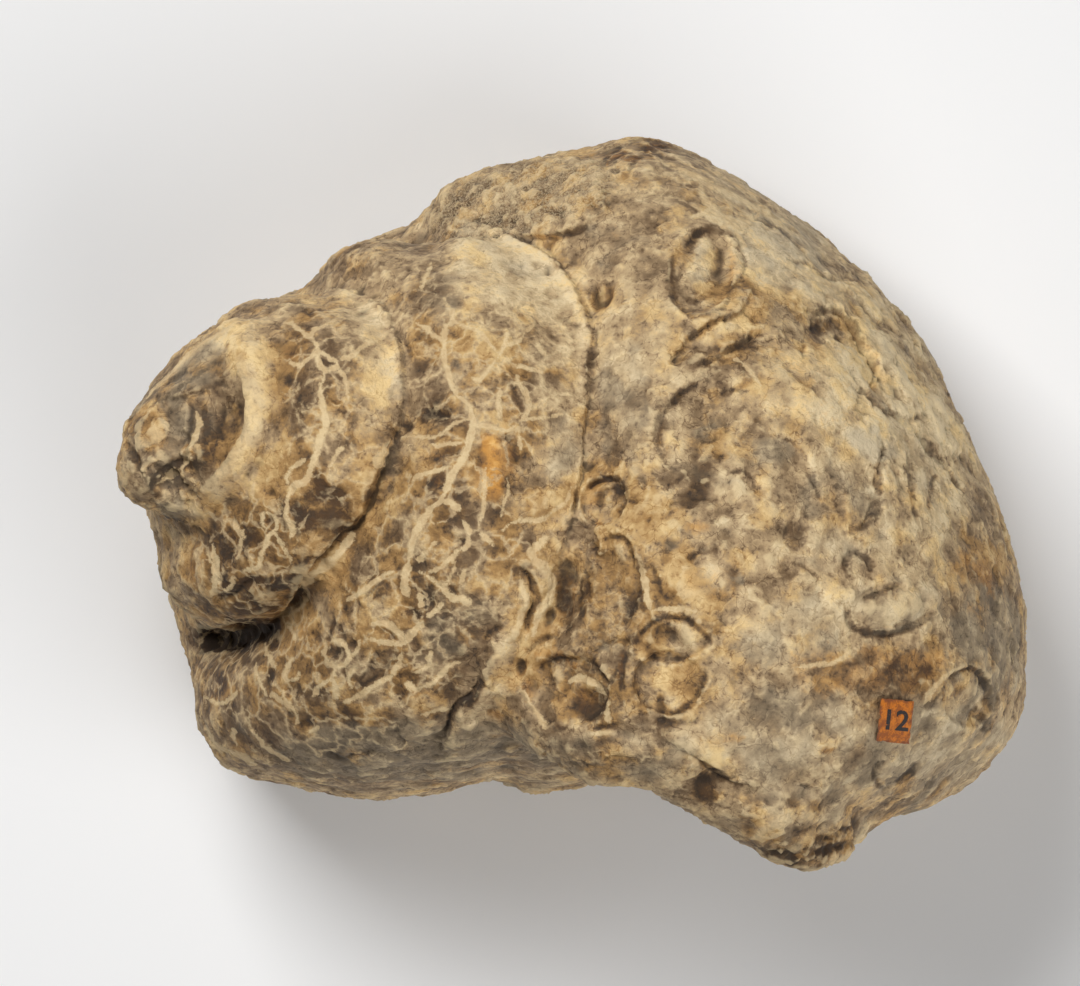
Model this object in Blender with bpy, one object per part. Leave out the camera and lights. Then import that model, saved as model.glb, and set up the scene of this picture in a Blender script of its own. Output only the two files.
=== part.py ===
"""A fossil sea snail: the stone filling of a large coiled shell, with the crust and shells grown on it.
It lies on its worn back and is seen from above. Metres, +Z up, +X to the right of the picture."""

import math

import bmesh
import bpy
import numpy as np
from mathutils import Vector, noise

MM = 0.001

# The coil, in millimetres. 0 degrees is the top edge of the last whorl, 90 its front, 180 its bottom edge.
AXIS_TURN_DEG = 24.0
AXIS_LIFT_DEG = 32.0
APEX = np.array([-108.3, 33.9, 0.0])
EDGE_RADIUS = 96.4
GROWTH_PER_TURN = 1.6
COIL_START_DEG = -1290
COIL_END_DEG = 112
RING_STEP_DEG = 7
# One whorl cut through: (distance from the axis, distance down it), as shares of the edge radius there.
WHORL_SECTION = [
    (0.58, 0.84), (0.72, 0.87), (0.86, 0.96), (0.96, 1.13), (1.01, 1.38), (1.00, 1.68), (0.90, 1.98),
    (0.66, 2.22), (0.28, 2.36), (0.00, 2.10), (0.05, 1.70), (0.20, 1.20), (0.40, 0.92),
]
SECTION_POINTS = 56
# How much fuller than an even spiral the coil is, at these angles.
FULLNESS_DEG = [-1080, -990, -900, -720, -630, -540, -360, -270, -180, -90, 0, 60, 120]
FULLNESS = [0.97, 0.96, 0.90, 1.0, 1.03, 0.97, 1.0, 1.07, 0.99, 1.0, 1.0, 1.0, 1.08]
# The broken lip: how many degrees further the stone runs, at these places down the axis.
LIP_RUN_DEG = 70
LIP_DOWN = [0.8, 1.5, 1.75, 2.0, 2.2, 2.4]
LIP_FURTHER_DEG = [15, 2, 0, 0, -3, -8]
LIP_ROUNDING_DEG = 16
LIP_SHRINK = 0.12
LIP_BULGE = 12.0

# The outline seen from above, clockwise from the left end of the spire.
OUTLINE = [
    (-104.2, 6.6), (-103.0, 13.2), (-100.4, 22.0), (-97.2, 26.3), (-90.2, 36.0), (-81.0, 43.2),
    (-75.3, 47.6), (-66.3, 48.8), (-62.2, 48.9), (-58.0, 53.5), (-52.8, 58.9), (-46.0, 61.9),
    (-38.8, 63.6), (-33.4, 66.6), (-32.3, 71.2), (-27.8, 74.3), (-20.9, 77.0), (-11.0, 79.0),
    (-2.7, 80.9), (4.1, 82.5), (10.9, 84.8), (15.6, 85.1), (22.6, 83.1), (29.1, 80.2),
    (40.9, 73.0), (53.5, 65.4), (61.0, 58.3), (69.8, 49.8), (78.6, 40.4), (87.2, 24.1),
    (92.1, 12.5), (98.0, 0.9), (103.6, -19.6), (104.0, -31.5), (103.6, -44.4), (98.2, -56.8),
    (92.3, -62.2), (84.0, -68.6), (67.5, -73.8), (63.9, -78.2), (60.5, -81.5), (56.6, -84.1),
    (53.9, -84.7), (49.6, -83.6), (44.8, -81.4), (39.0, -78.2), (32.3, -73.6), (27.1, -71.5),
    (21.0, -67.6), (16.8, -64.3), (10.0, -63.8), (1.8, -64.4), (-8.2, -65.3), (-11.9, -65.0),
    (-16.6, -61.8), (-24.0, -64.1), (-30.1, -66.0), (-46.3, -67.8), (-63.0, -65.2), (-72.1, -63.0),
    (-79.6, -59.6), (-86.2, -50.1), (-87.2, -37.9), (-89.2, -28.8), (-90.2, -25.0), (-93.9, -17.3),
    (-94.0, -9.4), (-96.2, -4.4), (-101.0, -0.4),
]
PRESS_FROM_SHARE = 0.55
OUTLINE_DIRECTIONS = 720
OUTLINE_BLUR = 3.5
OUTLINE_BLUR_REACH = 9

# The worn back: a flat patch in the middle, and rough broken stone that rises round it.
HEIGHT = 134.0
FLAT_CENTRE = (6.0, -4.0)
FLAT_HALF = (58.0, 46.0)
BREAK_RISE = 15.0
BREAK_WAVE_SIZE = 24
BREAK_LUMP_SIZE = 13
BREAK_LUMP_RISE = 1.6

# Stone added to the coil, before it's all made one skin: name, centre, half sizes, turn. Heights are from the
# point of the spire.
LUMPS = [
    ("worn tip", (-87.0, 22.0, -17.0), (15.0, 17.0, 15.0), 0),
    ("tip knob", (-95.0, 9.0, -13.0), (9.0, 10.0, 12.0), 0),
    ("lip nub", (53.0, -74.0, -24.0), (11.0, 10.0, 15.0), 20),
]

# What is seen on the upper side, as places in millimetres.
# Ring scars of shells that grew on it: centre, half sizes, turn, rim height, floor depth.
RING_SCARS = [
    ((30.6, 52.5), (7.6, 11.2), -25, 1.0, 1.6),
    ((32.6, 19.1), (11.5, 13.5), -10, 0.5, 1.6),
    ((6.9, 0.5), (4.9, 5.6), 0, 0.8, 3.0),
    ((9.0, -17.3), (6.2, 10.0), 0, 0.8, 1.4),
    ((-2.4, -41.4), (11.4, 9.8), 10, 1.1, 2.6),
    ((21.5, -37.7), (8.8, 12.0), -15, 1.3, 2.4),
    ((88.8, -43.4), (6.4, 7.4), 0, 0.9, 1.2),
]
# Pits and hollows: centre, half sizes, turn, depth.
PITS = [
    ((-1.9, -19.3), (3.8, 9.6), -14, 3.2),
    ((3.6, -45.0), (4.0, 4.6), 0, 2.6),
    ((-8.6, -38.0), (3.0, 2.6), 0, 1.8),
    ((21.8, -29.6), (3.6, 2.6), 0, 2.4),
    ((6.5, 47.7), (2.8, 3.6), -15, 2.2),
    ((25.4, 3.6), (6.4, 4.4), 20, 2.2),
    ((50.8, -6.6), (4.0, 5.0), 0, 1.6),
    ((70.0, -31.0), (12.0, 2.6), 12, 1.6),
    ((34.0, -62.8), (6.0, 4.4), -20, 2.2),
    ((-79.4, 20.2), (5.6, 8.0), -20, 3.6),
    ((-90.2, 6.0), (4.2, 3.4), 45, 2.8),
    ((-33.0, 20.0), (4.6, 3.0), 0, 1.6),
]
# Grooves: line, half width, depth. The first three deepen the joins between whorls.
GROOVES = [
    (
        [
            (-33, 63), (-14.7, 62.0), (-3.4, 55.0), (3.1, 42.4), (4.2, 30.5), (3.0, 16.0), (0.5, 4.0),
            (-4.0, -8.0),
        ],
        1.8,
        1.6,
    ),
    (
        [(-61, 48.6), (-44, 44.0), (-39.5, 33.0), (-38.8, 20.0), (-42.0, 8.0), (-48.5, -4.0), (-58.0, -18.0)],
        1.6,
        1.8,
    ),
    ([(-73, 40.0), (-67.4, 31.0), (-66.8, 22.0), (-70.4, 12.0), (-77.0, 3.6), (-86.0, -2.6)], 1.5, 1.4),
    ([(-85.4, -31.6), (-77.0, -30.6), (-68.6, -27.6), (-63.0, -23.0)], 3.0, 6.5),
    ([(-4.6, -24.0), (-11.0, -34.0), (-23.0, -47.0), (-30.0, -54.0)], 1.8, 1.6),
    ([(21.0, 27.0), (25.0, 35.0), (31.0, 37.5), (43.0, 40.5)], 1.5, 1.4),
    ([(52.0, 37.5), (62.0, 41.5), (68.0, 34.0), (74.5, 20.0)], 2.0, 1.5),
    ([(68.0, 6.0), (70.6, 0.0), (70.0, -8.0)], 1.5, 1.2),
]
# Ridges: line, half width, rise.
RIDGES = [
    ([(-10.0, 60.6), (-3.0, 62.0), (3.0, 63.6), (7.4, 67.0), (7.4, 72.0)], 2.0, 1.6),
    ([(28.6, 41.0), (35.0, 42.6), (44.0, 45.0)], 2.2, 1.6),
    ([(-3.0, -54.0), (10.0, -55.6), (22.0, -55.0), (30.0, -56.0)], 2.4, 1.4),
    ([(-8.0, -12.0), (-11.0, -24.0), (-20.0, -38.0), (-27.0, -47.0)], 2.0, 1.5),
    ([(63.0, -19.0), (72.0, -18.0), (81.0, -22.0)], 3.4, 1.4),
    ([(-74.0, 37.0), (-71.0, 26.0), (-73.0, 15.0), (-80.0, 6.0)], 2.6, 1.2),
]
CRUST_SPOT = ((-14.0, 69.0), (24.0, 9.5), 14)
CRUST_RISE = 2.4
CRUST_GRAIN = (4.5, 1.1, 7)

# Uneven stone: how far apart the lumps of noise are, how high they rise, and the number of their pattern.
UNEVEN_ALL_ROUND = [(27, 1.3, 1), (9, 0.55, 2)]
UNEVEN_WHERE_BROKEN = [(15, 2.6, 6), (6.5, 1.3, 8)]

STONE_COLOUR = (0.42, 0.33, 0.22)
LABEL_COLOUR = (0.62, 0.20, 0.05)

VOXEL = 1.7
STONE_TRIANGLES = 9300

LABEL_CENTRE = (73.0, -49.0)
LABEL_SIZE = (7.6, 9.8)
LABEL_TURN_DEG = -6.0
LABEL_CELLS = (4, 5)
LABEL_GAP = 0.35
LABEL_THICK = 0.35


def clear_scene():
    for item in list(bpy.data.objects):
        bpy.data.objects.remove(item, do_unlink=True)


def smooth_loop(points, count):
    """A closed smooth curve through the points, as this many points."""
    p = np.array(points)
    n = len(p)
    out = []
    for s in np.arange(count) * n / count:
        i, t = int(s), s - int(s)
        a, b, c, d = p[(i - 1) % n], p[i], p[(i + 1) % n], p[(i + 2) % n]
        square = (2 * a - 5 * b + 4 * c - d) * t**2
        cube = (3 * b - a - 3 * c + d) * t**3
        out.append(0.5 * (2 * b + (c - a) * t + square + cube))
    return np.array(out)


def ramp(value, low, high):
    """0 at low, 1 at high, and smooth between."""
    t = np.clip((value - low) / (high - low), 0, 1)
    return t * t * (3 - 2 * t)


def coil_rings():
    """One ring of points for every few degrees of growth, from the point of the spire to the broken lip."""
    turn, lift = math.radians(AXIS_TURN_DEG), math.radians(AXIS_LIFT_DEG)
    up_axis = np.array([-math.cos(turn) * math.cos(lift), math.sin(turn) * math.cos(lift), math.sin(lift)])
    to_top = np.array([math.sin(turn), math.cos(turn), 0.0])
    to_front = np.cross(to_top, up_axis)
    section = smooth_loop(WHORL_SECTION, SECTION_POINTS)
    rings = []
    for deg in np.arange(COIL_START_DEG, COIL_END_DEG + 1, RING_STEP_DEG):
        size = EDGE_RADIUS * GROWTH_PER_TURN ** (deg / 360)
        wide = size * np.interp(deg, FULLNESS_DEG, FULLNESS)
        near_lip = np.clip((deg - COIL_END_DEG + LIP_RUN_DEG) / LIP_RUN_DEG, 0, 1) ** 1.5
        angle = np.radians(deg + near_lip * np.interp(section[:, 1], LIP_DOWN, LIP_FURTHER_DEG))
        outward = np.cos(angle)[:, None] * to_top + np.sin(angle)[:, None] * to_front
        ring = outward * section[:, :1] * wide - section[:, 1:] * size * up_axis + APEX
        shrink = LIP_SHRINK * np.clip((deg - COIL_END_DEG + LIP_ROUNDING_DEG) / LIP_ROUNDING_DEG, 0, 1) ** 2
        rings.append(ring + (ring.mean(0) - ring) * shrink)
    return rings


def new_object(name, points, faces):
    mesh = bpy.data.meshes.new(name)
    mesh.from_pydata([tuple(p * MM) for p in points], [], faces)
    mesh.validate()
    item = bpy.data.objects.new(name, mesh)
    bpy.context.scene.collection.objects.link(item)
    return item


def build_coil():
    rings = coil_rings()
    n = SECTION_POINTS
    points = np.concatenate(rings)
    faces = [
        (i * n + j, (i + 1) * n + j, (i + 1) * n + (j + 1) % n, i * n + (j + 1) % n)
        for i in range(len(rings) - 1)
        for j in range(n)
    ]
    forward = rings[-1].mean(0) - rings[-2].mean(0)
    first = rings[0].mean(0)
    last = rings[-1].mean(0) + LIP_BULGE * forward / np.linalg.norm(forward)
    tip, end = len(points), len(points) + 1
    base = (len(rings) - 1) * n
    faces += [(tip, j, (j + 1) % n) for j in range(n)]
    faces += [(end, base + (j + 1) % n, base + j) for j in range(n)]
    return new_object("coil", np.vstack([points, first, last]), faces)


def add_lump(name, centre, half, turn_deg=0.0):
    """An egg of stone, so many millimetres across each way."""
    bpy.ops.mesh.primitive_ico_sphere_add(subdivisions=4, radius=1, location=[c * MM for c in centre])
    lump = bpy.context.object
    lump.name = name
    lump.rotation_euler = (0, 0, math.radians(turn_deg))
    lump.scale = [h * MM for h in half]
    return lump


def baked(item, name):
    """The item with its modifiers made real, as a new object."""
    graph = bpy.context.evaluated_depsgraph_get()
    mesh = bpy.data.meshes.new_from_object(item.evaluated_get(graph))
    mesh.transform(item.matrix_world)
    made = bpy.data.objects.new(name, mesh)
    bpy.context.scene.collection.objects.link(made)
    bpy.data.objects.remove(item, do_unlink=True)
    return made


def joined(items):
    bpy.ops.object.select_all(action="DESELECT")
    for item in items:
        item.select_set(True)
    bpy.context.view_layer.objects.active = items[0]
    bpy.ops.object.transform_apply(location=True, rotation=True, scale=True)
    bpy.ops.object.join()
    return items[0]


def remeshed(item, name, voxel):
    remesh = item.modifiers.new("one skin", "REMESH")
    remesh.mode = "VOXEL"
    remesh.voxel_size = voxel * MM
    return baked(item, name)


def keep_largest(item):
    """Drops the loose bits and inner shells that a remesh leaves."""
    bm = bmesh.new()
    bm.from_mesh(item.data)
    bm.verts.ensure_lookup_table()
    group = {}
    sizes = []
    for seed in bm.verts:
        if seed in group:
            continue
        stack, size = [seed], 0
        group[seed] = len(sizes)
        while stack:
            vert = stack.pop()
            size += 1
            for edge in vert.link_edges:
                other = edge.other_vert(vert)
                if other not in group:
                    group[other] = len(sizes)
                    stack.append(other)
        sizes.append(size)
    best = sizes.index(max(sizes))
    bmesh.ops.delete(bm, geom=[v for v in bm.verts if group[v] != best], context="VERTS")
    bm.to_mesh(item.data)
    bm.free()


def read_points(item):
    points = np.empty(len(item.data.vertices) * 3)
    item.data.vertices.foreach_get("co", points)
    return points.reshape(-1, 3) / MM


def read_normals(item):
    normals = np.empty(len(item.data.vertices) * 3, np.float32)
    item.data.vertex_normals.foreach_get("vector", normals)
    return normals.reshape(-1, 3).astype(float)


def write_points(item, points):
    item.data.vertices.foreach_set("co", (points * MM).ravel())
    item.data.update()


def edge_distance(outline, directions):
    """How far the outline is from the middle in each direction, in radians."""
    p = np.array(outline)
    q = np.roll(p, -1, axis=0)
    best = np.zeros(len(directions))
    for a, b in zip(p, q):
        side = b - a
        ray = np.stack([np.cos(directions), np.sin(directions)], axis=1)
        det = ray[:, 0] * side[1] - ray[:, 1] * side[0]
        det = np.where(np.abs(det) < 1e-9, 1e-9, det)
        far = (a[0] * side[1] - a[1] * side[0]) / det
        along = (a[0] * ray[:, 1] - a[1] * ray[:, 0]) / det
        hit = (along >= 0) & (along <= 1) & (far > 0)
        best = np.where(hit, np.maximum(best, far), best)
    return best


def press_to_outline(points):
    """Swells or squeezes the stone sideways until its outline from above is the measured one."""
    bins = OUTLINE_DIRECTIONS
    middle = (np.arange(bins) + 0.5) / bins * 2 * math.pi - math.pi
    target = edge_distance(OUTLINE, middle)
    flat = np.hypot(points[:, 0], points[:, 1])
    angle = np.arctan2(points[:, 1], points[:, 0])
    where = np.minimum(((angle + math.pi) / (2 * math.pi) * bins).astype(int), bins - 1)
    reach = np.zeros(bins)
    np.maximum.at(reach, where, flat)
    reach = np.max([np.roll(reach, s) for s in (-2, -1, 0, 1, 2)], axis=0)
    ratio = target / reach
    blur = np.exp(-0.5 * (np.arange(-OUTLINE_BLUR_REACH, OUTLINE_BLUR_REACH + 1) / OUTLINE_BLUR) ** 2)
    ratio = np.convolve(np.pad(ratio, OUTLINE_BLUR_REACH, mode="wrap"), blur / blur.sum(), mode="valid")
    stretch = np.interp(angle, middle, ratio, period=2 * math.pi)
    share = flat / np.interp(angle, middle, reach, period=2 * math.pi)
    change = 1 + (stretch - 1) * ramp(share, PRESS_FROM_SHARE, 1.0)
    out = points.copy()
    out[:, :2] *= change[:, None]
    return out


def noise_at(points, size, seed):
    """Smooth noise from about -1 to 1, with lumps this many millimetres apart."""
    shift = Vector((seed * 17.3, seed * 5.1, seed * 9.7))
    return np.array([noise.noise(Vector(p / size) + shift) for p in points])


def uneven_height(points, layers):
    """The sum of several layers of noise: size, rise and pattern of each."""
    return sum(rise * noise_at(points, size, seed) for size, rise, seed in layers)


def wear_the_back(points, floor):
    """Presses everything below the break up on to it: flat in the middle and rough round it."""
    x = (points[:, 0] - FLAT_CENTRE[0]) / FLAT_HALF[0]
    y = (points[:, 1] - FLAT_CENTRE[1]) / FLAT_HALF[1]
    flat = points * (1, 1, 0)
    far = np.hypot(x, y) + 0.12 * noise_at(flat, BREAK_WAVE_SIZE, 3)
    lumps = BREAK_LUMP_RISE * noise_at(flat, BREAK_LUMP_SIZE, 4) * ramp(far, 1.0, 1.15)
    rise = BREAK_RISE * np.clip(far - 1, 0, 1) + lumps
    level = floor - 1.0 + np.maximum(rise, 0)
    out = points.copy()
    out[:, 2] = np.maximum(points[:, 2], level)
    return out


def on_spot(points, centre, half, turn_deg):
    """How far each point is from the middle of an oval seen from above, where 1 is its edge."""
    turn = math.radians(turn_deg)
    x, y = points[:, 0] - centre[0], points[:, 1] - centre[1]
    along = x * math.cos(turn) + y * math.sin(turn)
    across = y * math.cos(turn) - x * math.sin(turn)
    return np.hypot(along / half[0], across / half[1])


def bell(value, middle, width):
    return np.exp(-(((value - middle) / width) ** 2))


def line_distance(points, line):
    """How far each point is from a bent line seen from above."""
    best = np.full(len(points), np.inf)
    for a, b in zip(line, line[1:]):
        a, b = np.array(a, float), np.array(b, float)
        side = b - a
        t = np.clip(((points[:, :2] - a) @ side) / (side @ side), 0, 1)
        best = np.minimum(best, np.linalg.norm(points[:, :2] - a - t[:, None] * side, axis=1))
    return best


def detail_height(points):
    """How far the skin stands out or in, in millimetres, for what was seen on the upper side."""
    height = np.zeros(len(points))
    for centre, half, turn_deg, rim, floor in RING_SCARS:
        far = on_spot(points, centre, half, turn_deg)
        height += rim * bell(far, 1.0, 0.16) - floor * (1 - ramp(far, 0.55, 0.95))
    for centre, half, turn_deg, depth in PITS:
        height -= depth * (1 - ramp(on_spot(points, centre, half, turn_deg), 0.5, 1.15))
    for line, width, depth in GROOVES:
        height -= depth * bell(line_distance(points, line), 0, width)
    for line, width, rise in RIDGES:
        height += rise * bell(line_distance(points, line), 0, width)
    crust = on_spot(points, *CRUST_SPOT)
    height += (CRUST_RISE + uneven_height(points, [CRUST_GRAIN])) * (1 - ramp(crust, 0.8, 1.05))
    return height


def roughen(stone):
    """Pushes the skin out and in along its own direction: the seen detail on top, uneven stone all round."""
    points, normals = read_points(stone), read_normals(stone)
    facing_up = ramp(normals[:, 2], 0.0, 0.35)
    push = detail_height(points) * facing_up
    push += uneven_height(points, UNEVEN_ALL_ROUND)
    broken = ramp(0.3 + 0.4 * noise_at(points, 21, 5) - normals[:, 2], 0.1, 0.6)
    broken *= ramp(-normals[:, 1], -0.2, 0.5)
    push += broken * uneven_height(points, UNEVEN_WHERE_BROKEN)
    write_points(stone, points + normals * push[:, None])


def thinned(item, name, triangles):
    item.data.calc_loop_triangles()
    thin = item.modifiers.new("fewer faces", "DECIMATE")
    thin.ratio = triangles / len(item.data.loop_triangles)
    thin.use_collapse_triangulate = True
    return baked(item, name)


def cut_flat(item):
    """Cuts off everything under the ground and closes the stone with one flat face."""
    bm = bmesh.new()
    bm.from_mesh(item.data)
    whole = bm.verts[:] + bm.edges[:] + bm.faces[:]
    down = (0, 0, -1)
    bmesh.ops.bisect_plane(bm, geom=whole, dist=1e-7, plane_co=(0, 0, 0), plane_no=down, clear_outer=True)
    rim = [edge for edge in bm.edges if edge.is_boundary]
    bmesh.ops.contextual_create(bm, geom=rim)
    bmesh.ops.triangulate(bm, faces=[face for face in bm.faces if len(face.verts) > 3])
    bmesh.ops.recalc_face_normals(bm, faces=bm.faces[:])
    bm.to_mesh(item.data)
    bm.free()


def settle(item):
    """Moves the stone until the middle of its footprint box is at the origin."""
    points = read_points(item)
    middle = (points.min(0) + points.max(0)) / 2
    shift = np.array([middle[0], middle[1], points[:, 2].min()])
    write_points(item, points - shift)


def build_stone():
    coil = build_coil()
    lumps = [add_lump(*lump) for lump in LUMPS]
    stone = remeshed(joined([coil, *lumps]), "stone", VOXEL)
    keep_largest(stone)
    points = press_to_outline(read_points(stone))
    points[:, 2] += HEIGHT - points[:, 2].max()
    write_points(stone, points)
    roughen(stone)
    points = read_points(stone)
    points = wear_the_back(press_to_outline(points), 0.0)
    write_points(stone, points)
    stone = remeshed(stone, "stone", VOXEL)
    keep_largest(stone)
    stone = thinned(stone, "fossil_snail", STONE_TRIANGLES)
    cut_flat(stone)
    settle(stone)
    return stone


def build_label(stone):
    """A small paper label that follows the stone a third of a millimetre above it."""
    turn = math.radians(LABEL_TURN_DEG)
    across, along = LABEL_CELLS
    under = []
    for j in range(along + 1):
        for i in range(across + 1):
            u = (i / across - 0.5) * LABEL_SIZE[0]
            v = (j / along - 0.5) * LABEL_SIZE[1]
            x = LABEL_CENTRE[0] + u * math.cos(turn) - v * math.sin(turn)
            y = LABEL_CENTRE[1] + u * math.sin(turn) + v * math.cos(turn)
            _, place, _, _ = stone.ray_cast(Vector((x, y, 400)) * MM, Vector((0, 0, -1)))
            under.append(np.array(place) / MM)
    under = np.array(under)
    # A paper label bends one way only, so its grid is laid on the smoothest surface that clears the stone.
    x, y = under[:, 0], under[:, 1]
    columns = np.stack([np.ones(len(under)), x, y, x**2, y**2], axis=1)
    fit, *_ = np.linalg.lstsq(columns, under[:, 2], rcond=None)
    smooth = columns @ fit
    under[:, 2] = smooth + np.max(under[:, 2] - smooth) + LABEL_GAP
    over = under + (0, 0, LABEL_THICK)
    row, count = across + 1, len(under)
    faces = []
    for j in range(along):
        for i in range(across):
            a = j * row + i
            faces.append((a + count, a + 1 + count, a + row + 1 + count, a + row + count))
            faces.append((a, a + row, a + row + 1, a + 1))
    ring = [*range(row), *range(2 * row - 1, count, row), *range(count - 2, count - row - 1, -1)]
    ring += list(range(count - 2 * row, 0, -row))
    for a, b in zip(ring, ring[1:] + ring[:1]):
        faces.append((a, b, b + count, a + count))
    return new_object("number_label", np.vstack([under, over]), faces)


def give_material(item, name, colour, roughness):
    material = bpy.data.materials.new(name)
    material.use_nodes = True
    shader = material.node_tree.nodes["Principled BSDF"]
    shader.inputs["Base Color"].default_value = (*colour, 1.0)
    shader.inputs["Roughness"].default_value = roughness
    item.data.materials.clear()
    item.data.materials.append(material)
    item.data.polygons.foreach_set("material_index", [0] * len(item.data.polygons))


clear_scene()
stone = build_stone()
stone.data.shade_smooth()
give_material(stone, "limestone", STONE_COLOUR, 0.8)
label = build_label(stone)
give_material(label, "label_paper", LABEL_COLOUR, 0.7)
print(len(stone.data.polygons), "faces of stone,", read_points(stone).max(0), read_points(label).mean(0))
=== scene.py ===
# %% [markdown]
# # A fossil sea snail on a pale table
#
# The real thing is stone: lime mud filled a large coiled shell, set hard, and the shell itself then went.
# Other sea creatures grew on it and broke off again, and left rings. The solids give its form and size. Here
# the stone gets its fine relief, its cream veins, cracks, stains and grain, and the paper label its print.

# %% Load the solids
import math

import bpy
import numpy as np
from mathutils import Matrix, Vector, noise
from mathutils.bvhtree import BVHTree


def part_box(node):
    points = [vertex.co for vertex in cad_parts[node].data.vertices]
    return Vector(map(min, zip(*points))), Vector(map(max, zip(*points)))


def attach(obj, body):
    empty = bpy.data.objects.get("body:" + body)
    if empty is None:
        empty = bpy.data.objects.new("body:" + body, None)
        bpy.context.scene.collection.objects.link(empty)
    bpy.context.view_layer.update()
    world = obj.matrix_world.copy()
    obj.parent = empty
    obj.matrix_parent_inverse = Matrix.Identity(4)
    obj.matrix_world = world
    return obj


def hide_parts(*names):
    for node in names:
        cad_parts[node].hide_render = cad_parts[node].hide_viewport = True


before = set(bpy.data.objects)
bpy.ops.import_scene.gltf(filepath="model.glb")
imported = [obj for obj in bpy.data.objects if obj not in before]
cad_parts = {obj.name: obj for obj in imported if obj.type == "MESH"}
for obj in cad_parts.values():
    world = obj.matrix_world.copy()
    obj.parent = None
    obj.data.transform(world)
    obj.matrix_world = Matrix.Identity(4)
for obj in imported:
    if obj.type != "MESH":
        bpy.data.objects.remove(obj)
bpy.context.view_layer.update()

MM = 0.001
print("solids:", sorted(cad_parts))

# %% [markdown]
# ## From the picture to the stone
#
# The camera looks straight down, so a mark's place in the picture is also its place from above. The picture
# shows 4.4 pixels to a millimetre at the middle height of the stone. A camera eight metres up sees higher
# places hardly larger, and that little is reckoned in, so each mark lies where the picture has it.

# %% Picture scale
# The picture's origin is the pixel that the middle of the stone's footprint falls on.
PIXELS_PER_MM = 4.4
PICTURE_SIZE = np.array([1080, 986])
PICTURE_ORIGIN = np.array([571.5, 504.0])
MIDDLE_HEIGHT = 0.06
CAMERA_HEIGHT = 8.0

LOOK_AT = (PICTURE_SIZE / 2 - PICTURE_ORIGIN) / PIXELS_PER_MM * MM * (1, -1)


def seen_from_above(points):
    """Where points in metres fall in the picture, in its pixels."""
    nearer = (CAMERA_HEIGHT - MIDDLE_HEIGHT) / (CAMERA_HEIGHT - points[:, 2])
    away = (points[:, :2] - LOOK_AT) / MM * PIXELS_PER_MM * nearer[:, None]
    return PICTURE_SIZE / 2 + away * (1, -1)


print("the camera is over", np.round(LOOK_AT / MM, 1), "mm")

# %% [markdown]
# ## Camera
#
# A camera close by would show the near parts larger, and the photograph shows hardly any of that. So this one
# stands far off with a long lens, which is worked out from the width that the picture has to show.

# %% Camera
SENSOR_MM = 36.0
CLIP_END = 40.0

camera = bpy.data.objects.new("camera", bpy.data.cameras.new("camera"))
bpy.context.scene.collection.objects.link(camera)
camera.location = (LOOK_AT[0], LOOK_AT[1], CAMERA_HEIGHT)
picture_width = PICTURE_SIZE[0] / PIXELS_PER_MM * MM
camera.data.sensor_width = SENSOR_MM
camera.data.lens = SENSOR_MM * (CAMERA_HEIGHT - MIDDLE_HEIGHT) / picture_width
camera.data.clip_end = CLIP_END
bpy.context.scene.camera = camera
bpy.context.scene.view_settings.view_transform = "Standard"
print("lens", round(camera.data.lens), "mm")

# %% [markdown]
# ## Floor and light
#
# The photograph was cut out on white, and its light is soft and comes from the top left. One large lamp gives
# that side, a second fills the rest, and a pale sky keeps the hollows open. The floor is a plain pale sheet.

# %% Floor, lamps and sky
# Each lamp has its place and the length of its side in metres, and its watts.
FLOOR_SIDE = 30.0
FLOOR_GREY = 0.9
FLOOR_ROUGHNESS = 0.9
LAMPS = {
    "key_lamp": ((-0.48, 0.66, 1.15), 0.7, 16.0),
    "fill_lamp": ((0.9, -0.8, 1.1), 1.6, 17.0),
}
SKY = 0.55


def make_lamp(name, place, side, watts):
    """A square lamp that faces the stone, unseen by the camera."""
    light = bpy.data.lights.new(name, "AREA")
    light.size = side
    light.energy = watts
    lamp = bpy.data.objects.new(name, light)
    lamp.location = place
    lamp.rotation_euler = (-lamp.location).to_track_quat("-Z", "Y").to_euler()
    lamp.visible_camera = False
    bpy.context.scene.collection.objects.link(lamp)


bpy.ops.object.select_all(action="DESELECT")
bpy.ops.mesh.primitive_plane_add(size=FLOOR_SIDE)
floor = bpy.context.object
floor.name = "floor"
floor_paint = bpy.data.materials.new("pale_floor")
floor_paint.use_nodes = True
floor_surface = floor_paint.node_tree.nodes["Principled BSDF"]
floor_surface.inputs["Base Color"].default_value = (FLOOR_GREY, FLOOR_GREY, FLOOR_GREY, 1)
floor_surface.inputs["Roughness"].default_value = FLOOR_ROUGHNESS
floor.data.materials.append(floor_paint)

for lamp_name, (place, side, watts) in LAMPS.items():
    make_lamp(lamp_name, place, side, watts)
world = bpy.data.worlds.new("sky")
bpy.context.scene.world = world
world.use_nodes = True
world.node_tree.nodes["Background"].inputs["Strength"].default_value = SKY
print("lamps:", ", ".join(LAMPS), "and a sky of strength", SKY)

# %% [markdown]
# ## A skin for the stone
#
# The solid is made of flat facets a few millimetres across. A copy of it is joined, smoothed by subdivision
# and then remeshed into even squares. Squares on the upper side are split once more, because the camera is
# there, and those beside a traced line or a ring are split again. The underside keeps the larger squares.

# %% Joined, smoothed and remeshed
SKIN_SQUARE = 2.1 * MM
JOIN_WITHIN = 0.01 * MM


def make_active(piece):
    bpy.ops.object.select_all(action="DESELECT")
    piece.select_set(True)
    bpy.context.view_layer.objects.active = piece


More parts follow.
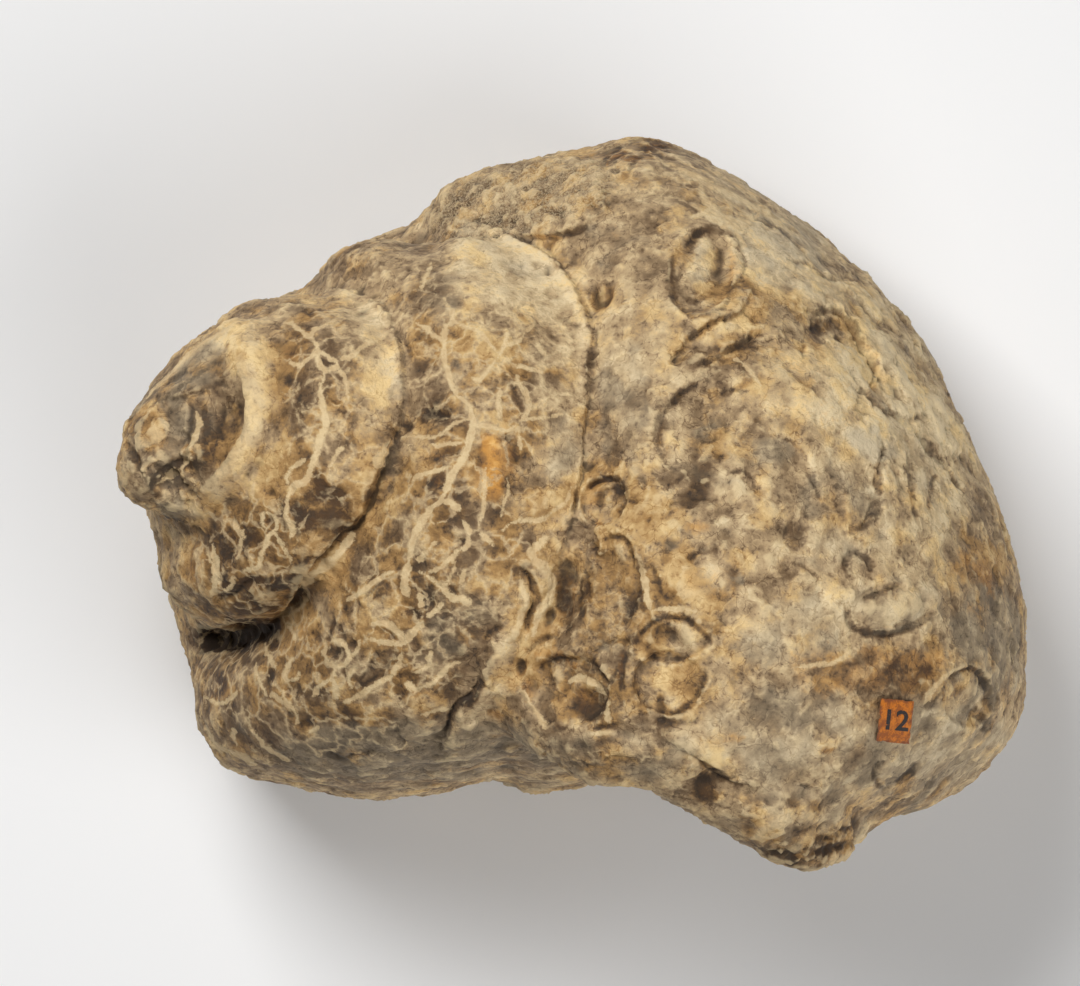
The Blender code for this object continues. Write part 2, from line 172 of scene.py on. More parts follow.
def finish_with(piece, kind, **settings):
    """Adds a modifier to the piece and applies it."""
    modifier = piece.modifiers.new(kind.lower(), kind)
    for name, value in settings.items():
        setattr(modifier, name, value)
    make_active(piece)
    bpy.ops.object.modifier_apply(modifier=modifier.name)


def copy_of_node(node, name):
    """A new object with the node's mesh, its loose triangles joined."""
    piece = bpy.data.objects.new(name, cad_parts[node].data.copy())
    bpy.context.scene.collection.objects.link(piece)
    piece.data.materials.clear()
    make_active(piece)
    bpy.ops.object.mode_set(mode="EDIT")
    bpy.ops.mesh.select_all(action="SELECT")
    bpy.ops.mesh.remove_doubles(threshold=JOIN_WITHIN)
    bpy.ops.object.mode_set(mode="OBJECT")
    return piece


stone = copy_of_node("fossil_snail", "snail_stone")
finish_with(stone, "SUBSURF", levels=2, render_levels=2)
finish_with(stone, "REMESH", mode="VOXEL", voxel_size=SKIN_SQUARE)
finish_with(stone, "SMOOTH", factor=0.5, iterations=4)
print("skin squares", len(stone.data.polygons))

# %% [markdown]
# A loop over every corner would be slow. Blender hands over all places or all normals as one long list, and
# numpy turns that into rows of three. The same way back moves every corner in one call.

# %% Reading and writing the skin
UPPER_FROM = -0.35


def read_rows(items, name):
    """Three numbers for each item, such as a corner's place, as the rows of a table."""
    flat = np.empty(len(items) * 3, np.float32)
    items.foreach_get(name, flat)
    return flat.reshape(-1, 3).astype(float)


def corner_places(mesh):
    return read_rows(mesh.vertices, "co")


def corner_normals(mesh):
    return read_rows(mesh.vertex_normals, "vector")


def move_corners(mesh, places):
    mesh.vertices.foreach_set("co", places.astype(np.float32).ravel())
    mesh.update()


def split_faces(piece, chosen):
    """Splits the chosen faces in four, in edit mode."""
    make_active(piece)
    bpy.ops.object.mode_set(mode="EDIT")
    bpy.ops.mesh.select_mode(type="FACE")
    bpy.ops.mesh.select_all(action="DESELECT")
    bpy.ops.object.mode_set(mode="OBJECT")
    piece.data.polygons.foreach_set("select", chosen)
    bpy.ops.object.mode_set(mode="EDIT")
    bpy.ops.mesh.subdivide(number_cuts=1)
    bpy.ops.object.mode_set(mode="OBJECT")


facing = read_rows(stone.data.polygons, "normal")
split_faces(stone, facing[:, 2] > UPPER_FROM)
print("after the first split", len(stone.data.polygons))

# %% [markdown]
# ## What is seen on the stone
#
# Each mark was traced on the picture, in its pixels, and a list is the plain way here, since
# no rule places such marks on a real stone. The first are the veins: pale mineral that filled old cracks.
# They are lines with a width, and the distance to a line stays crisp where a painted picture would blur.

# %% Pale veins
# Half width, then the line.
VEINS = [
    # the top of the last whorl
    (2.9, [(662, 161), (686, 172), (709, 185), (728, 193), (745, 202), (768, 216), (792, 232)]),
    (3.1, [(700, 184), (704, 196), (711, 208), (722, 216), (734, 223), (746, 222), (756, 210)]),
    (2.6, [(711, 208), (700, 214), (690, 218)]),
    (2.5, [(734, 223), (738, 236), (746, 250)]),
    # the worn tip
    (1.8, [(148, 398), (161, 382), (179, 364), (198, 348), (216, 337), (230, 331)]),
    (3.0, [(178, 472), (184, 462), (190, 452), (196, 440), (199, 426), (196, 412)]),
    (2.2, [(158, 486), (168, 480), (178, 472)]),
    # second whorl
    (2.2, [(284, 324), (290, 324), (300, 329), (307, 336), (311, 339)]),
    (2.4, [(311, 339), (313, 332), (320, 327), (326, 324), (335, 321)]),
    (2.8, [(312, 340), (316, 346), (318, 354), (317, 360), (321, 367), (324, 372)]),
    (3.4, [(324, 372), (322, 386), (322, 399), (323, 411), (325, 424), (322, 434), (317, 452), (313, 462),
           (309, 474), (303, 482), (295, 485), (289, 494), (287, 505)]),
    (2.4, [(319, 351), (311, 356), (306, 360), (300, 366), (290, 362)]),
    (2.4, [(320, 354), (326, 354), (334, 360), (337, 365), (332, 368), (325, 371)]),
    (2.2, [(337, 365), (341, 372), (345, 379), (347, 386), (349, 399)]),
    (2.4, [(340, 361), (345, 357), (354, 355), (359, 350), (362, 348), (370, 344), (376, 342)]),
    (2.3, [(305, 460), (300, 463), (293, 468), (288, 476), (289, 484)]),
    (2.8, [(287, 505), (286, 515), (288, 522), (292, 528), (293, 534), (290, 540)]),
    (2.3, [(344, 446), (338, 452), (334, 460), (330, 468)]),
    (2.5, [(272, 530), (267, 540), (263, 550), (262, 560), (258, 567), (250, 569), (244, 571)]),
    (2.3, [(272, 530), (277, 537), (283, 545), (288, 552), (293, 558)]),
    (2.0, [(262, 512), (268, 514), (275, 520), (277, 528), (272, 532)]),
    (1.8, [(262, 512), (262, 520), (266, 530)]),
    (2.8, [(232, 518), (236, 528), (240, 535), (240, 548), (238, 558)]),
    (3.6, [(212, 545), (214, 555), (216, 565), (216, 578), (215, 588), (213, 596)]),
    (2.0, [(206, 552), (212, 565), (215, 575)]),
    (2.2, [(232, 575), (233, 582), (228, 589), (221, 593), (215, 592)]),
    (2.0, [(255, 484), (253, 495), (257, 500)]),
    # third whorl, the trunk and its branches
    (2.8, [(444, 297), (449, 305), (452, 312), (452, 320), (447, 326), (445, 335), (444, 345), (444, 355),
           (446, 366), (449, 376), (452, 386), (460, 397), (470, 408)]),
    (4.2, [(470, 408), (472, 425), (470, 440), (466, 452), (460, 462), (452, 475), (446, 490), (440, 500)]),
    (3.6, [(440, 500), (430, 510), (420, 525), (414, 537), (411, 550), (408, 563)]),
    (2.3, [(452, 320), (460, 324), (467, 327), (477, 329), (482, 334), (487, 340), (492, 346), (500, 357)]),
    (2.3, [(500, 357), (492, 365), (487, 372), (480, 379), (470, 377)]),
    (2.2, [(505, 329), (506, 339), (502, 351), (500, 357)]),
    (2.2, [(535, 324), (527, 331), (520, 339), (512, 344), (506, 347)]),
    (1.8, [(536, 340), (541, 350), (547, 356)]),
    (2.0, [(512, 365), (525, 367), (537, 370), (546, 375)]),
    (2.0, [(516, 376), (520, 385), (524, 395)]),
    (2.2, [(415, 322), (425, 327), (432, 334), (440, 339), (444, 341)]),
    (1.8, [(447, 227), (457, 232), (464, 236)]),
    (1.8, [(420, 290), (424, 280), (429, 270), (432, 264)]),
    (2.8, [(472, 424), (485, 427), (497, 430), (506, 431), (514, 427), (518, 425)]),
    (2.4, [(519, 424), (519, 440), (522, 451)]),
    (2.0, [(521, 420), (528, 420), (540, 418), (553, 416), (563, 415)]),
    (2.4, [(514, 383), (525, 390), (528, 402), (529, 412), (521, 421)]),
    (3.0, [(498, 385), (499, 400), (499, 417)]),
    (2.2, [(470, 419), (458, 422), (448, 428), (441, 433), (433, 437), (420, 437), (400, 437)]),
    (2.2, [(466, 441), (455, 443), (446, 444), (437, 446), (432, 444)]),
    (2.6, [(452, 465), (443, 469), (432, 472), (420, 476), (411, 481)]),
    (2.8, [(440, 500), (450, 503), (457, 507), (461, 510)]),
    (2.6, [(463, 520), (467, 530), (468, 540), (466, 548), (458, 551), (453, 558), (445, 565), (437, 570),
           (429, 571)]),
    (2.4, [(486, 468), (484, 480), (484, 495), (484, 510), (481, 522), (477, 530)]),
    (2.0, [(508, 478), (510, 490), (506, 500), (503, 512), (500, 517)]),
    (2.5, [(503, 530), (510, 524), (520, 521), (530, 521), (540, 519), (548, 514), (556, 508), (564, 501),
           (570, 488)]),
    (2.8, [(480, 535), (487, 540), (493, 546)]),
    (2.6, [(528, 551), (537, 545), (545, 537)]),
    (4.6, [(408, 563), (404, 575), (405, 585), (408, 596)]),
    (2.6, [(437, 540), (431, 548), (424, 555), (418, 561)]),
    (2.4, [(452, 557), (455, 565), (451, 575), (447, 583), (441, 587), (436, 583), (430, 577), (419, 572)]),
    (2.4, [(465, 568), (463, 577), (460, 585)]),
    (3.4, [(442, 587), (447, 593), (455, 598), (465, 600), (470, 604)]),
    (2.8, [(441, 605), (436, 611), (428, 617)]),
    (2.6, [(420, 593), (421, 600), (422, 606)]),
    # third whorl, low on the left
    (3.8, [(422, 622), (416, 629), (410, 637), (405, 643)]),
    (3.6, [(371, 624), (385, 623), (393, 627), (400, 633), (407, 640)]),
    (2.8, [(366, 638), (380, 641), (392, 643), (403, 645)]),
    (3.2, [(403, 652), (398, 662), (393, 672), (387, 680), (380, 683), (368, 690), (357, 697), (344, 703)]),
    (2.6, [(432, 653), (429, 660), (430, 666), (420, 670), (414, 671)]),
    (2.4, [(460, 663), (450, 666), (443, 673), (433, 682), (420, 687)]),
    (3.0, [(403, 683), (412, 688), (417, 691)]),
    (2.6, [(421, 714), (430, 713), (440, 712), (451, 713)]),
    (3.2, [(352, 536), (345, 547), (335, 558)]),
    (4.6, [(335, 558), (325, 567), (316, 575), (307, 583), (300, 592)]),
    (3.0, [(300, 592), (303, 600), (296, 608), (285, 613), (278, 620)]),
    (2.8, [(345, 600), (355, 596), (365, 590), (375, 582), (385, 575), (393, 573)]),
    (2.2, [(263, 640), (266, 652), (271, 663), (276, 670)]),
    (2.3, [(256, 660), (257, 670), (260, 682), (264, 692), (268, 697)]),
    (2.5, [(268, 697), (275, 695), (280, 700), (288, 706), (295, 712), (297, 722)]),
    (2.0, [(283, 690), (285, 697), (291, 703)]),
    (2.0, [(285, 625), (290, 632), (293, 640)]),
    (2.8, [(320, 636), (326, 646), (324, 655), (329, 664), (336, 667), (344, 664), (349, 656), (345, 646),
           (337, 641), (328, 643)]),
    (2.4, [(349, 656), (357, 650), (360, 640)]),
    (3.0, [(335, 668), (332, 678), (325, 682), (318, 688), (312, 696)]),
    (3.4, [(334, 678), (335, 690), (338, 698)]),
    (2.2, [(300, 670), (297, 678), (290, 680), (285, 675), (288, 665), (293, 658)]),
    (2.4, [(354, 668), (348, 680), (352, 690)]),
    (2.4, [(232, 728), (233, 738), (237, 745)]),
    (2.8, [(206, 726), (212, 738), (220, 748), (232, 752), (245, 758), (255, 765)]),
    (2.2, [(250, 730), (258, 738), (265, 747), (272, 753), (280, 758), (290, 762)]),
    (2.2, [(200, 695), (210, 700), (222, 702), (232, 697), (239, 690)]),
    (2.2, [(307, 735), (313, 730), (318, 726)]),
    (2.0, [(391, 740), (399, 749), (406, 743)]),
    # the lip and the last whorl
    (4.4, [(546, 538), (538, 546), (531, 553), (536, 562), (545, 568), (550, 580), (549, 595), (543, 608),
           (537, 620), (534, 634)]),
    (3.4, [(519, 572), (523, 590), (527, 600), (522, 610), (520, 622), (514, 632), (509, 643)]),
    (2.8, [(521, 690), (530, 705), (540, 717), (548, 728)]),
    (2.6, [(530, 738), (535, 748), (542, 753)]),
    (3.2, [(566, 683), (580, 678), (593, 686), (600, 695)]),
    (3.0, [(606, 700), (606, 712), (607, 722)]),
    (3.0, [(594, 734), (603, 734), (612, 733)]),
    (3.0, [(706, 218), (716, 222), (729, 226), (743, 226), (753, 218), (762, 212)]),
    (2.4, [(733, 356), (743, 362), (753, 376), (763, 388)]),
    (2.9, [(789, 266), (806, 274), (822, 281), (847, 288), (862, 293)]),
    (2.6, [(653, 610), (668, 609), (682, 609), (696, 611)]),
    (3.4, [(640, 560), (643, 575), (646, 592), (650, 608)]),
    (2.4, [(925, 703), (934, 686), (949, 673), (962, 667)]),
    (2.0, [(1002, 508), (1004, 532), (1006, 558)]),
    (2.8, [(687, 757), (692, 762), (698, 768)]),
    (2.4, [(795, 668), (820, 664), (838, 660), (852, 650)]),
]

print(len(VEINS), "veins")

# %% [markdown]
# Cracks are dark lines, and the joins between the whorls are the longest of them. Each has a depth as well as
# a width, because a crack that is only painted on lies flat when the light comes from elsewhere.

# %% Dark cracks and the grooves between whorls
# Half width and depth in millimetres, then the line.
CRACKS = [
    # joins between whorls
    (1.1, 0.45, [(504, 231), (519, 239), (537, 249), (559, 261), (567, 275), (576, 290), (584, 305),
                 (589, 320), (592, 339), (589, 357), (588, 382), (588, 401), (584, 434)]),
    (1.2, 0.6, [(584, 434), (582, 462), (578, 490), (574, 505), (570, 512)]),
    (2.4, 1.6, [(524, 571), (530, 577), (535, 588), (540, 597), (536, 605), (530, 616), (527, 628)]),
    (2.0, 1.0, [(555, 636), (546, 639), (535, 645), (525, 655)]),
    (2.6, 1.6, [(482, 680), (476, 692), (468, 699), (460, 705), (455, 712), (453, 722), (448, 733)]),
    (1.6, 0.6, [(369, 301), (379, 300), (385, 309), (391, 321), (396, 334), (400, 342), (403, 355),
                (403, 367), (403, 385), (402, 411), (398, 430)]),
    (2.8, 1.8, [(380, 470), (374, 485), (370, 497), (366, 508), (362, 517), (356, 526), (350, 530),
                (342, 530)]),
    (3.0, 1.2, [(342, 530), (332, 545), (322, 556), (312, 566)]),
    (3.6, 1.8, [(298, 600), (289, 607), (282, 612), (274, 619)]),
    (3.6, 1.8, [(218, 599), (228, 597), (236, 592), (243, 587), (251, 581)]),
    # the worn tip
    (2.6, 1.2, [(129, 445), (133, 452), (137, 462), (139, 471)]),
    (3.0, 1.4, [(156, 464), (164, 472), (176, 478), (184, 488), (192, 498)]),
    (2.2, 1.0, [(178, 430), (186, 436), (190, 446), (186, 458), (178, 466)]),
    (1.8, 0.7, [(150, 410), (163, 400), (176, 397), (190, 396), (204, 390), (216, 384), (228, 388)]),
    (1.2, 0.5, [(165, 388), (180, 374), (196, 362), (212, 354)]),
    (1.2, 0.5, [(176, 392), (192, 380), (206, 370), (222, 362)]),
    (2.0, 0.8, [(152, 500), (160, 510), (172, 518), (186, 522)]),
    # third whorl
    (1.6, 0.8, [(485, 640), (490, 633), (497, 629), (503, 627)]),
    (1.8, 0.8, [(373, 629), (385, 631), (395, 637)]),
    (1.8, 0.8, [(329, 641), (330, 629), (334, 621)]),
    (1.8, 0.8, [(338, 625), (343, 633), (344, 641)]),
    (1.6, 0.6, [(362, 600), (370, 594), (378, 586), (385, 580)]),
    (1.6, 0.6, [(350, 756), (360, 754), (370, 752)]),
    (1.4, 0.6, [(330, 753), (338, 759)]),
    (1.6, 0.6, [(396, 720), (398, 732), (404, 741)]),
    (1.3, 0.4, [(355, 392), (355, 405)]),
    (1.3, 0.4, [(354, 436), (354, 448)]),
    (1.6, 0.6, [(378, 650), (372, 660), (366, 672), (358, 682)]),
    (1.6, 0.6, [(394, 655), (386, 666), (378, 674)]),
    (2.0, 0.8, [(575, 492), (576, 502), (573, 510)]),
    # round the oval ring scar
    (1.4, 0.6, [(668, 286), (671, 298), (680, 309), (690, 315), (704, 318), (718, 314), (728, 304),
                (730, 292), (741, 280), (745, 262), (743, 248), (735, 236)]),
    (2.2, 0.9, [(673, 358), (678, 349), (688, 340), (698, 332), (711, 323), (726, 318), (739, 314),
                (748, 300)]),
    (2.2, 1.0, [(700, 362), (720, 354), (733, 347), (746, 339), (757, 332)]),
    (2.6, 1.0, [(655, 434), (658, 422), (668, 405), (681, 392), (696, 384)]),
    (1.5, 0.5, [(655, 434), (658, 450), (664, 462), (674, 470)]),
    (1.6, 0.6, [(720, 392), (732, 390), (743, 392)]),
    (1.5, 0.5, [(753, 221), (766, 222), (779, 228), (789, 238), (799, 248)]),
    (1.5, 0.5, [(786, 260), (802, 264), (816, 271), (829, 278), (844, 281)]),
    # the arched hollow on the right
    (2.6, 1.2, [(812, 330), (815, 320), (820, 311), (826, 308), (836, 311), (849, 321), (857, 333),
                (865, 349), (873, 362), (875, 374), (872, 384)]),
    (2.2, 0.9, [(862, 389), (872, 400), (885, 408), (900, 416), (914, 430), (928, 444), (940, 459),
                (951, 473), (962, 488)]),
    (1.6, 0.6, [(804, 339), (804, 349), (803, 359)]),
    (2.2, 0.9, [(886, 445), (882, 460), (880, 480), (877, 495), (873, 510), (866, 523), (860, 538)]),
    (1.8, 0.7, [(908, 455), (911, 471), (912, 488), (914, 505), (918, 515)]),
    (1.5, 0.5, [(936, 475), (933, 495), (934, 508)]),
    (1.8, 0.6, [(813, 479), (818, 490), (820, 500)]),
    (2.4, 0.9, [(845, 562), (848, 555), (856, 552), (866, 556), (871, 569)]),
    (3.0, 1.2, [(847, 612), (851, 622), (858, 631), (876, 634), (897, 633), (915, 626), (933, 617)]),
    (1.6, 0.6, [(866, 599), (875, 593), (886, 589), (899, 586)]),
    # rings near the lip
    (2.6, 1.0, [(587, 484), (596, 479), (608, 478), (618, 481), (625, 490), (626, 500), (620, 509),
                (612, 515)]),
    (2.0, 0.8, [(601, 510), (600, 500), (604, 492), (612, 490)]),
    (2.4, 1.0, [(590, 540), (594, 546), (602, 552), (606, 559)]),
    (2.4, 1.0, [(605, 537), (613, 536), (624, 539), (630, 548), (632, 558), (631, 568)]),
    (2.6, 0.9, [(586, 566), (583, 578), (578, 588), (580, 600), (583, 612), (578, 620)]),
    (1.6, 0.6, [(652, 567), (657, 576), (660, 590)]),
    (2.8, 1.1, [(641, 631), (648, 624), (660, 619), (673, 617), (688, 620), (700, 631), (709, 642)]),
    (2.4, 1.0, [(704, 668), (705, 680), (700, 692), (691, 702), (679, 711), (668, 714)]),
    (2.4, 1.0, [(656, 718), (668, 722), (682, 724), (697, 721)]),
    (2.6, 1.0, [(590, 650), (600, 645), (612, 641), (622, 640), (630, 646)]),
    (2.0, 0.8, [(589, 662), (594, 672), (602, 680), (608, 683), (614, 674), (618, 666)]),
    (2.2, 0.8, [(546, 672), (548, 663), (556, 659), (566, 658), (575, 662)]),
    (1.8, 0.7, [(554, 700), (560, 692), (566, 688)]),
    (1.8, 0.7, [(533, 712), (526, 702), (521, 696)]),
    (2.0, 0.8, [(548, 724), (556, 730), (565, 728)]),
    (2.2, 0.8, [(592, 728), (606, 728), (619, 723)]),
    (2.2, 0.8, [(628, 645), (626, 660), (622, 675), (622, 690)]),
    (2.0, 0.8, [(659, 696), (661, 706), (667, 713)]),
    (1.8, 0.7, [(690, 558), (704, 550), (717, 543)]),
    (1.6, 0.6, [(728, 475), (738, 472), (749, 476), (753, 486)]),
    # the lower right end
    (2.0, 0.8, [(934, 700), (944, 684), (958, 672), (970, 669), (981, 677), (987, 688), (986, 700)]),
    (2.6, 1.0, [(972, 716), (980, 718), (985, 726), (982, 731)]),
    (1.8, 0.8, [(884, 764), (877, 771), (877, 780), (881, 787), (888, 789)]),
    (2.0, 0.6, [(898, 782), (909, 773), (919, 764)]),
    (2.8, 1.0, [(699, 762), (709, 766), (721, 774), (741, 782)]),
    (2.2, 0.9, [(816, 853), (832, 848), (846, 844), (856, 840)]),
    (2.0, 0.8, [(819, 840), (834, 833), (849, 825)]),
    (1.8, 0.6, [(606, 759), (622, 757), (636, 758)]),
    (1.6, 0.5, [(560, 762), (580, 764), (600, 768)]),
    (2.2, 0.6, [(606, 168), (604, 158), (609, 149), (618, 146)]),
    (2.2, 0.6, [(617, 172), (616, 162), (622, 154), (632, 151)]),
    (2.0, 0.6, [(630, 172), (634, 163), (644, 158)]),
    (2.2, 0.6, [(628, 142), (642, 139), (658, 142), (670, 149)]),
    (1.8, 0.5, [(640, 150), (652, 150), (663, 156)]),
    (1.6, 0.6, [(528, 236), (545, 233), (559, 234), (573, 231), (585, 225), (597, 214), (604, 203)]),
]

print(len(CRACKS), "cracks")

# %% [markdown]
# One whorl stands a little over the next, and a crust ends in a step. A ledge is a line too. It lifts the
# stone on one side, lowers it on the other, and fades with distance, so the large forms stay as they are.

# %% Ledges
# Height in millimetres, how far the lower side reaches, then the line. The lower side is on the left hand of
# someone who walks along the line.
LEDGES = [
    (1.4, 34, [(470, 222), (504, 231), (519, 239), (537, 249), (559, 261), (567, 275), (576, 290),
               (584, 305), (589, 320), (592, 339), (589, 357), (588, 401), (584, 434), (582, 462),
               (578, 490), (572, 512)]),
    (1.1, 26, [(352, 293), (372, 298), (385, 309), (391, 321), (397, 334), (402, 355), (403, 385),
               (400, 415), (392, 440), (384, 462)]),
    (2.0, 30, [(381, 470), (375, 487), (366, 508), (356, 526), (342, 533), (330, 548), (315, 563),
               (302, 580), (292, 600), (274, 619)]),
    (0.35, 26, [(205, 336), (223, 329), (245, 326), (264, 336), (275, 351), (276, 376), (270, 411),
                (261, 439), (251, 461), (239, 483), (226, 500), (204, 516)]),
    (0.8, 16, [(195, 503), (201, 486), (217, 470), (229, 454), (239, 439), (245, 417), (243, 395),
               (240, 376)]),
    (1.0, 14, [(526, 629), (530, 616), (536, 605), (538, 590), (532, 577), (524, 570)]),
    (1.4, 20, [(448, 735), (453, 722), (455, 712), (461, 704), (469, 699), (476, 691), (482, 676)]),
    (1.3, 18, [(604, 195), (604, 212), (585, 225), (559, 234), (528, 236), (507, 232), (474, 236)]),
    (1.3, 24, [(877, 366), (870, 354), (859, 338), (844, 316), (831, 311), (819, 310)]),
    (0.9, 26, [(696, 384), (681, 392), (668, 405), (658, 422), (655, 436)]),
    (1.0, 20, [(748, 298), (739, 314), (726, 318), (711, 323), (698, 332), (688, 340), (676, 354)]),
    (0.9, 16, [(757, 332), (746, 339), (733, 347), (720, 354), (700, 362)]),
    (1.0, 18, [(940, 459), (928, 444), (914, 430), (900, 416), (885, 408), (862, 389)]),
    (0.9, 22, [(860, 538), (866, 523), (873, 510), (877, 495), (880, 480), (886, 445)]),
    (1.2, 20, [(745, 784), (720, 776), (699, 762), (684, 752)]),
    (1.0, 14, [(196, 392), (184, 396), (172, 398), (163, 405), (152, 418), (144, 436)]),
]

print(len(LEDGES), "ledges")

# %% [markdown]
# Barnacles and oysters left rings with a rim, a floor and at times a plug in the middle. Someone who sculpts
# would press each in with a brush. Here an oval and a few heights say the same, also for pits and low lumps.

# %% Ring scars, hollows and swells
# Centre, half sizes, clockwise turn in degrees, then how high the rim, how deep the floor and how high the
# middle, in millimetres.
SCARS = [
    ((702, 273), (33, 46), 12, 0.4, 0.5, 0.0),
    ((603, 502), (24, 25), 0, 0.5, 0.9, 0.7),
    ((612, 580), (30, 48), 0, 0.2, 0.4, 0.4),
    ((566, 690), (44, 38), -10, 0.3, 0.7, 0.4),
    ((672, 640), (40, 23), -8, 0.4, 0.6, 0.2),
    ((668, 682), (36, 33), 0, 0.4, 0.7, 0.6),
    ((966, 697), (27, 31), 0, 0.4, 0.5, 0.4),
    ((892, 606), (44, 24), -6, 0.2, 0.5, 1.0),
    ((337, 390), (9, 14), 5, 0.3, 0.4, 0.3),
]
# Centre, half sizes, clockwise turn in degrees, depth in millimetres.
HOLLOWS = [
    ((566, 590), (11, 36), 8, 1.2),
    ((585, 708), (16, 16), 0, 1.0),
    ((663, 633), (12, 9), -10, 1.3),
    ((628, 598), (9, 20), 0, 0.8),
    ((600, 294), (10, 13), 20, 1.6),
    ((520, 667), (7, 8), 20, 1.8),
    ((550, 617), (6, 11), 10, 1.5),
    ((684, 494), (20, 16), 20, 0.8),
    ((704, 470), (18, 9), 0, 0.6),
    ((794, 535), (11, 18), 0, 0.6),
    ((832, 326), (18, 11), 15, 0.7),
    ((840, 338), (7, 6), 0, 1.0),
    ((827, 260), (8, 7), 0, 0.8),
    ((850, 277), (9, 5), 20, 0.8),
    ((436, 413), (14, 7), 8, 1.6),
    ((406, 425), (6, 8), 20, 1.3),
    ((394, 432), (4, 4), 0, 1.0),
    ((509, 437), (6, 5), 0, 1.2),
    ((459, 541), (6, 3.6), 0, 1.2),
    ((431, 600), (6, 11), -10, 1.4),
    ((444, 614), (6, 5), 0, 0.9),
    ((447, 569), (4, 5), 0, 0.9),
    ((336, 653), (6.5, 6.5), 0, 1.0),
    ((352, 643), (3, 3), 0, 0.8),
    ((267, 675), (6, 13), 10, 1.0),
    ((293, 690), (8, 10), -20, 1.0),
    ((305, 725), (10, 5), 20, 1.0),
    ((271, 493), (6, 6), 0, 1.2),
    ((269, 520), (4.5, 5), 0, 1.1),
    ((280, 511), (3, 7), 0, 1.1),
    ((283, 529), (4.5, 7), -20, 1.1),
    ((296, 508), (6, 8), 0, 1.2),
    ((324, 498), (32, 22), 10, 1.1),
    ((222, 432), (16, 42), 26, 1.3),
    ((313, 635), (3, 3), 0, 0.8),
    ((709, 783), (14, 16), 20, 1.0),
    ((636, 502), (3.5, 3.5), 0, 0.7),
    ((594, 546), (5, 5), 0, 1.0),
    ((630, 561), (4, 7), 0, 1.0),
    ((309, 311), (3, 3), 0, 0.6),
    ((309, 327), (3, 3), 0, 0.6),
    ((370, 409), (3, 3), 0, 0.6),
    ((234, 636), (36, 12), -12, 4.0),
    ((205, 640), (6, 12), -10, 3.0),
    ((792, 802), (7, 5), 0, 0.8),
    ((816, 806), (7, 5), 0, 0.8),
]
# Centre, half sizes, clockwise turn in degrees, height in millimetres.
SWELLS = [
    ((190, 452), (12, 10), -30, 1.6),
    ((206, 430), (13, 30), 22, 1.2),
    ((176, 508), (18, 10), 20, 0.8),
    ((150, 430), (18, 20), 0, 0.8),
    ((699, 266), (16, 35), 14, 1.1),
    ((732, 264), (10, 24), 8, 0.5),
    ((718, 334), (22, 10), -25, 0.9),
    ((752, 300), (30, 14), -35, 0.7),
    ((609, 501), (5, 4), -30, 0.8),
    ((618, 549), (8, 6), 30, 0.8),
    ((688, 637), (9, 14), -20, 0.8),
    ((558, 676), (8, 9), 0, 0.9),
    ((605, 666), (8, 7), 0, 0.7),
    ((738, 489), (9, 13), 15, 1.0),
    ((672, 527), (10, 12), 20, 0.7),
    ((885, 610), (30, 13), -6, 0.6),
    ((974, 697), (8, 14), 15, 0.7),
    ((460, 716), (8, 6), 0, 0.8),
    ((470, 725), (11, 6), 15, 0.7),
    ((526, 603), (5, 9), 0, 0.8),
    ((514, 632), (6, 10), 10, 0.8),
    ((810, 385), (45, 36), 0, 0.5),
    ((820, 852), (20, 12), -20, 0.8),
    ((510, 752), (9, 6), 0, 0.6),
]
CRUST = ((520, 199), (92, 34), -14)
# Centre, half sizes, clockwise turn in degrees, how much rougher.
LUMPY = [
    ((165, 450), (46, 58), 0, 1.0), ((250, 560), (70, 50), 0, 0.5), ((430, 620), (90, 80), 0, 0.5),
    ((620, 600), (90, 120), 0, 0.5), ((820, 840), (60, 30), 0, 1.0), ((900, 380), (60, 120), -30, 0.5),
    ((690, 480), (60, 60), 0, 0.6),
]

print(len(SCARS), "rings,", len(HOLLOWS), "hollows,", len(SWELLS), "swells")

# %% [markdown]
# ## Washes and dabs of colour
#
# Someone who paints a cast lays on broad washes first and small marks after. The washes are ovals: paler or
# darker stone, painted shade on the lower and right edges and under the tip, grey, gold and rust, and where
# the pale net runs or the stone is smooth.

# %% Colour zones
# Centre, half sizes, clockwise turn in degrees, strength.
LIGHTER = [
    ((900, 430), (70, 120), -20, 1.0), ((960, 560), (60, 110), 0, 0.35), ((870, 600), (90, 90), 0, 0.5),
    ((760, 560), (80, 130), 0, 0.3), ((790, 230), (90, 60), 40, 0.9), ((900, 330), (60, 60), 40, 0.7),
    ((790, 720), (100, 70), 0, 0.35), ((650, 320), (60, 140), 0, 0.25), ((970, 700), (50, 90), 0, 0.3),
    ((500, 365), (66, 80), 0, 0.45), ((455, 300), (70, 50), 0, 0.2), ((565, 420), (24, 80), 0, 0.3),
    ((510, 280), (70, 46), 20, 0.8), ((565, 335), (22, 60), -5, 0.4), ((545, 390), (22, 30), 0, 0.3),
    ((545, 480), (26, 40), 0, 0.25), ((812, 380), (52, 44), 0, 0.3), ((740, 620), (30, 40), 0, 0.3),
    ((740, 690), (40, 40), 0, 0.3), ((640, 240), (36, 50), 0, 0.25), ((625, 370), (32, 80), 0, 0.3),
    ((710, 200), (60, 30), 20, 0.4), ((376, 350), (26, 70), -8, 0.3), ((494, 468), (14, 38), 0, 0.3),
]
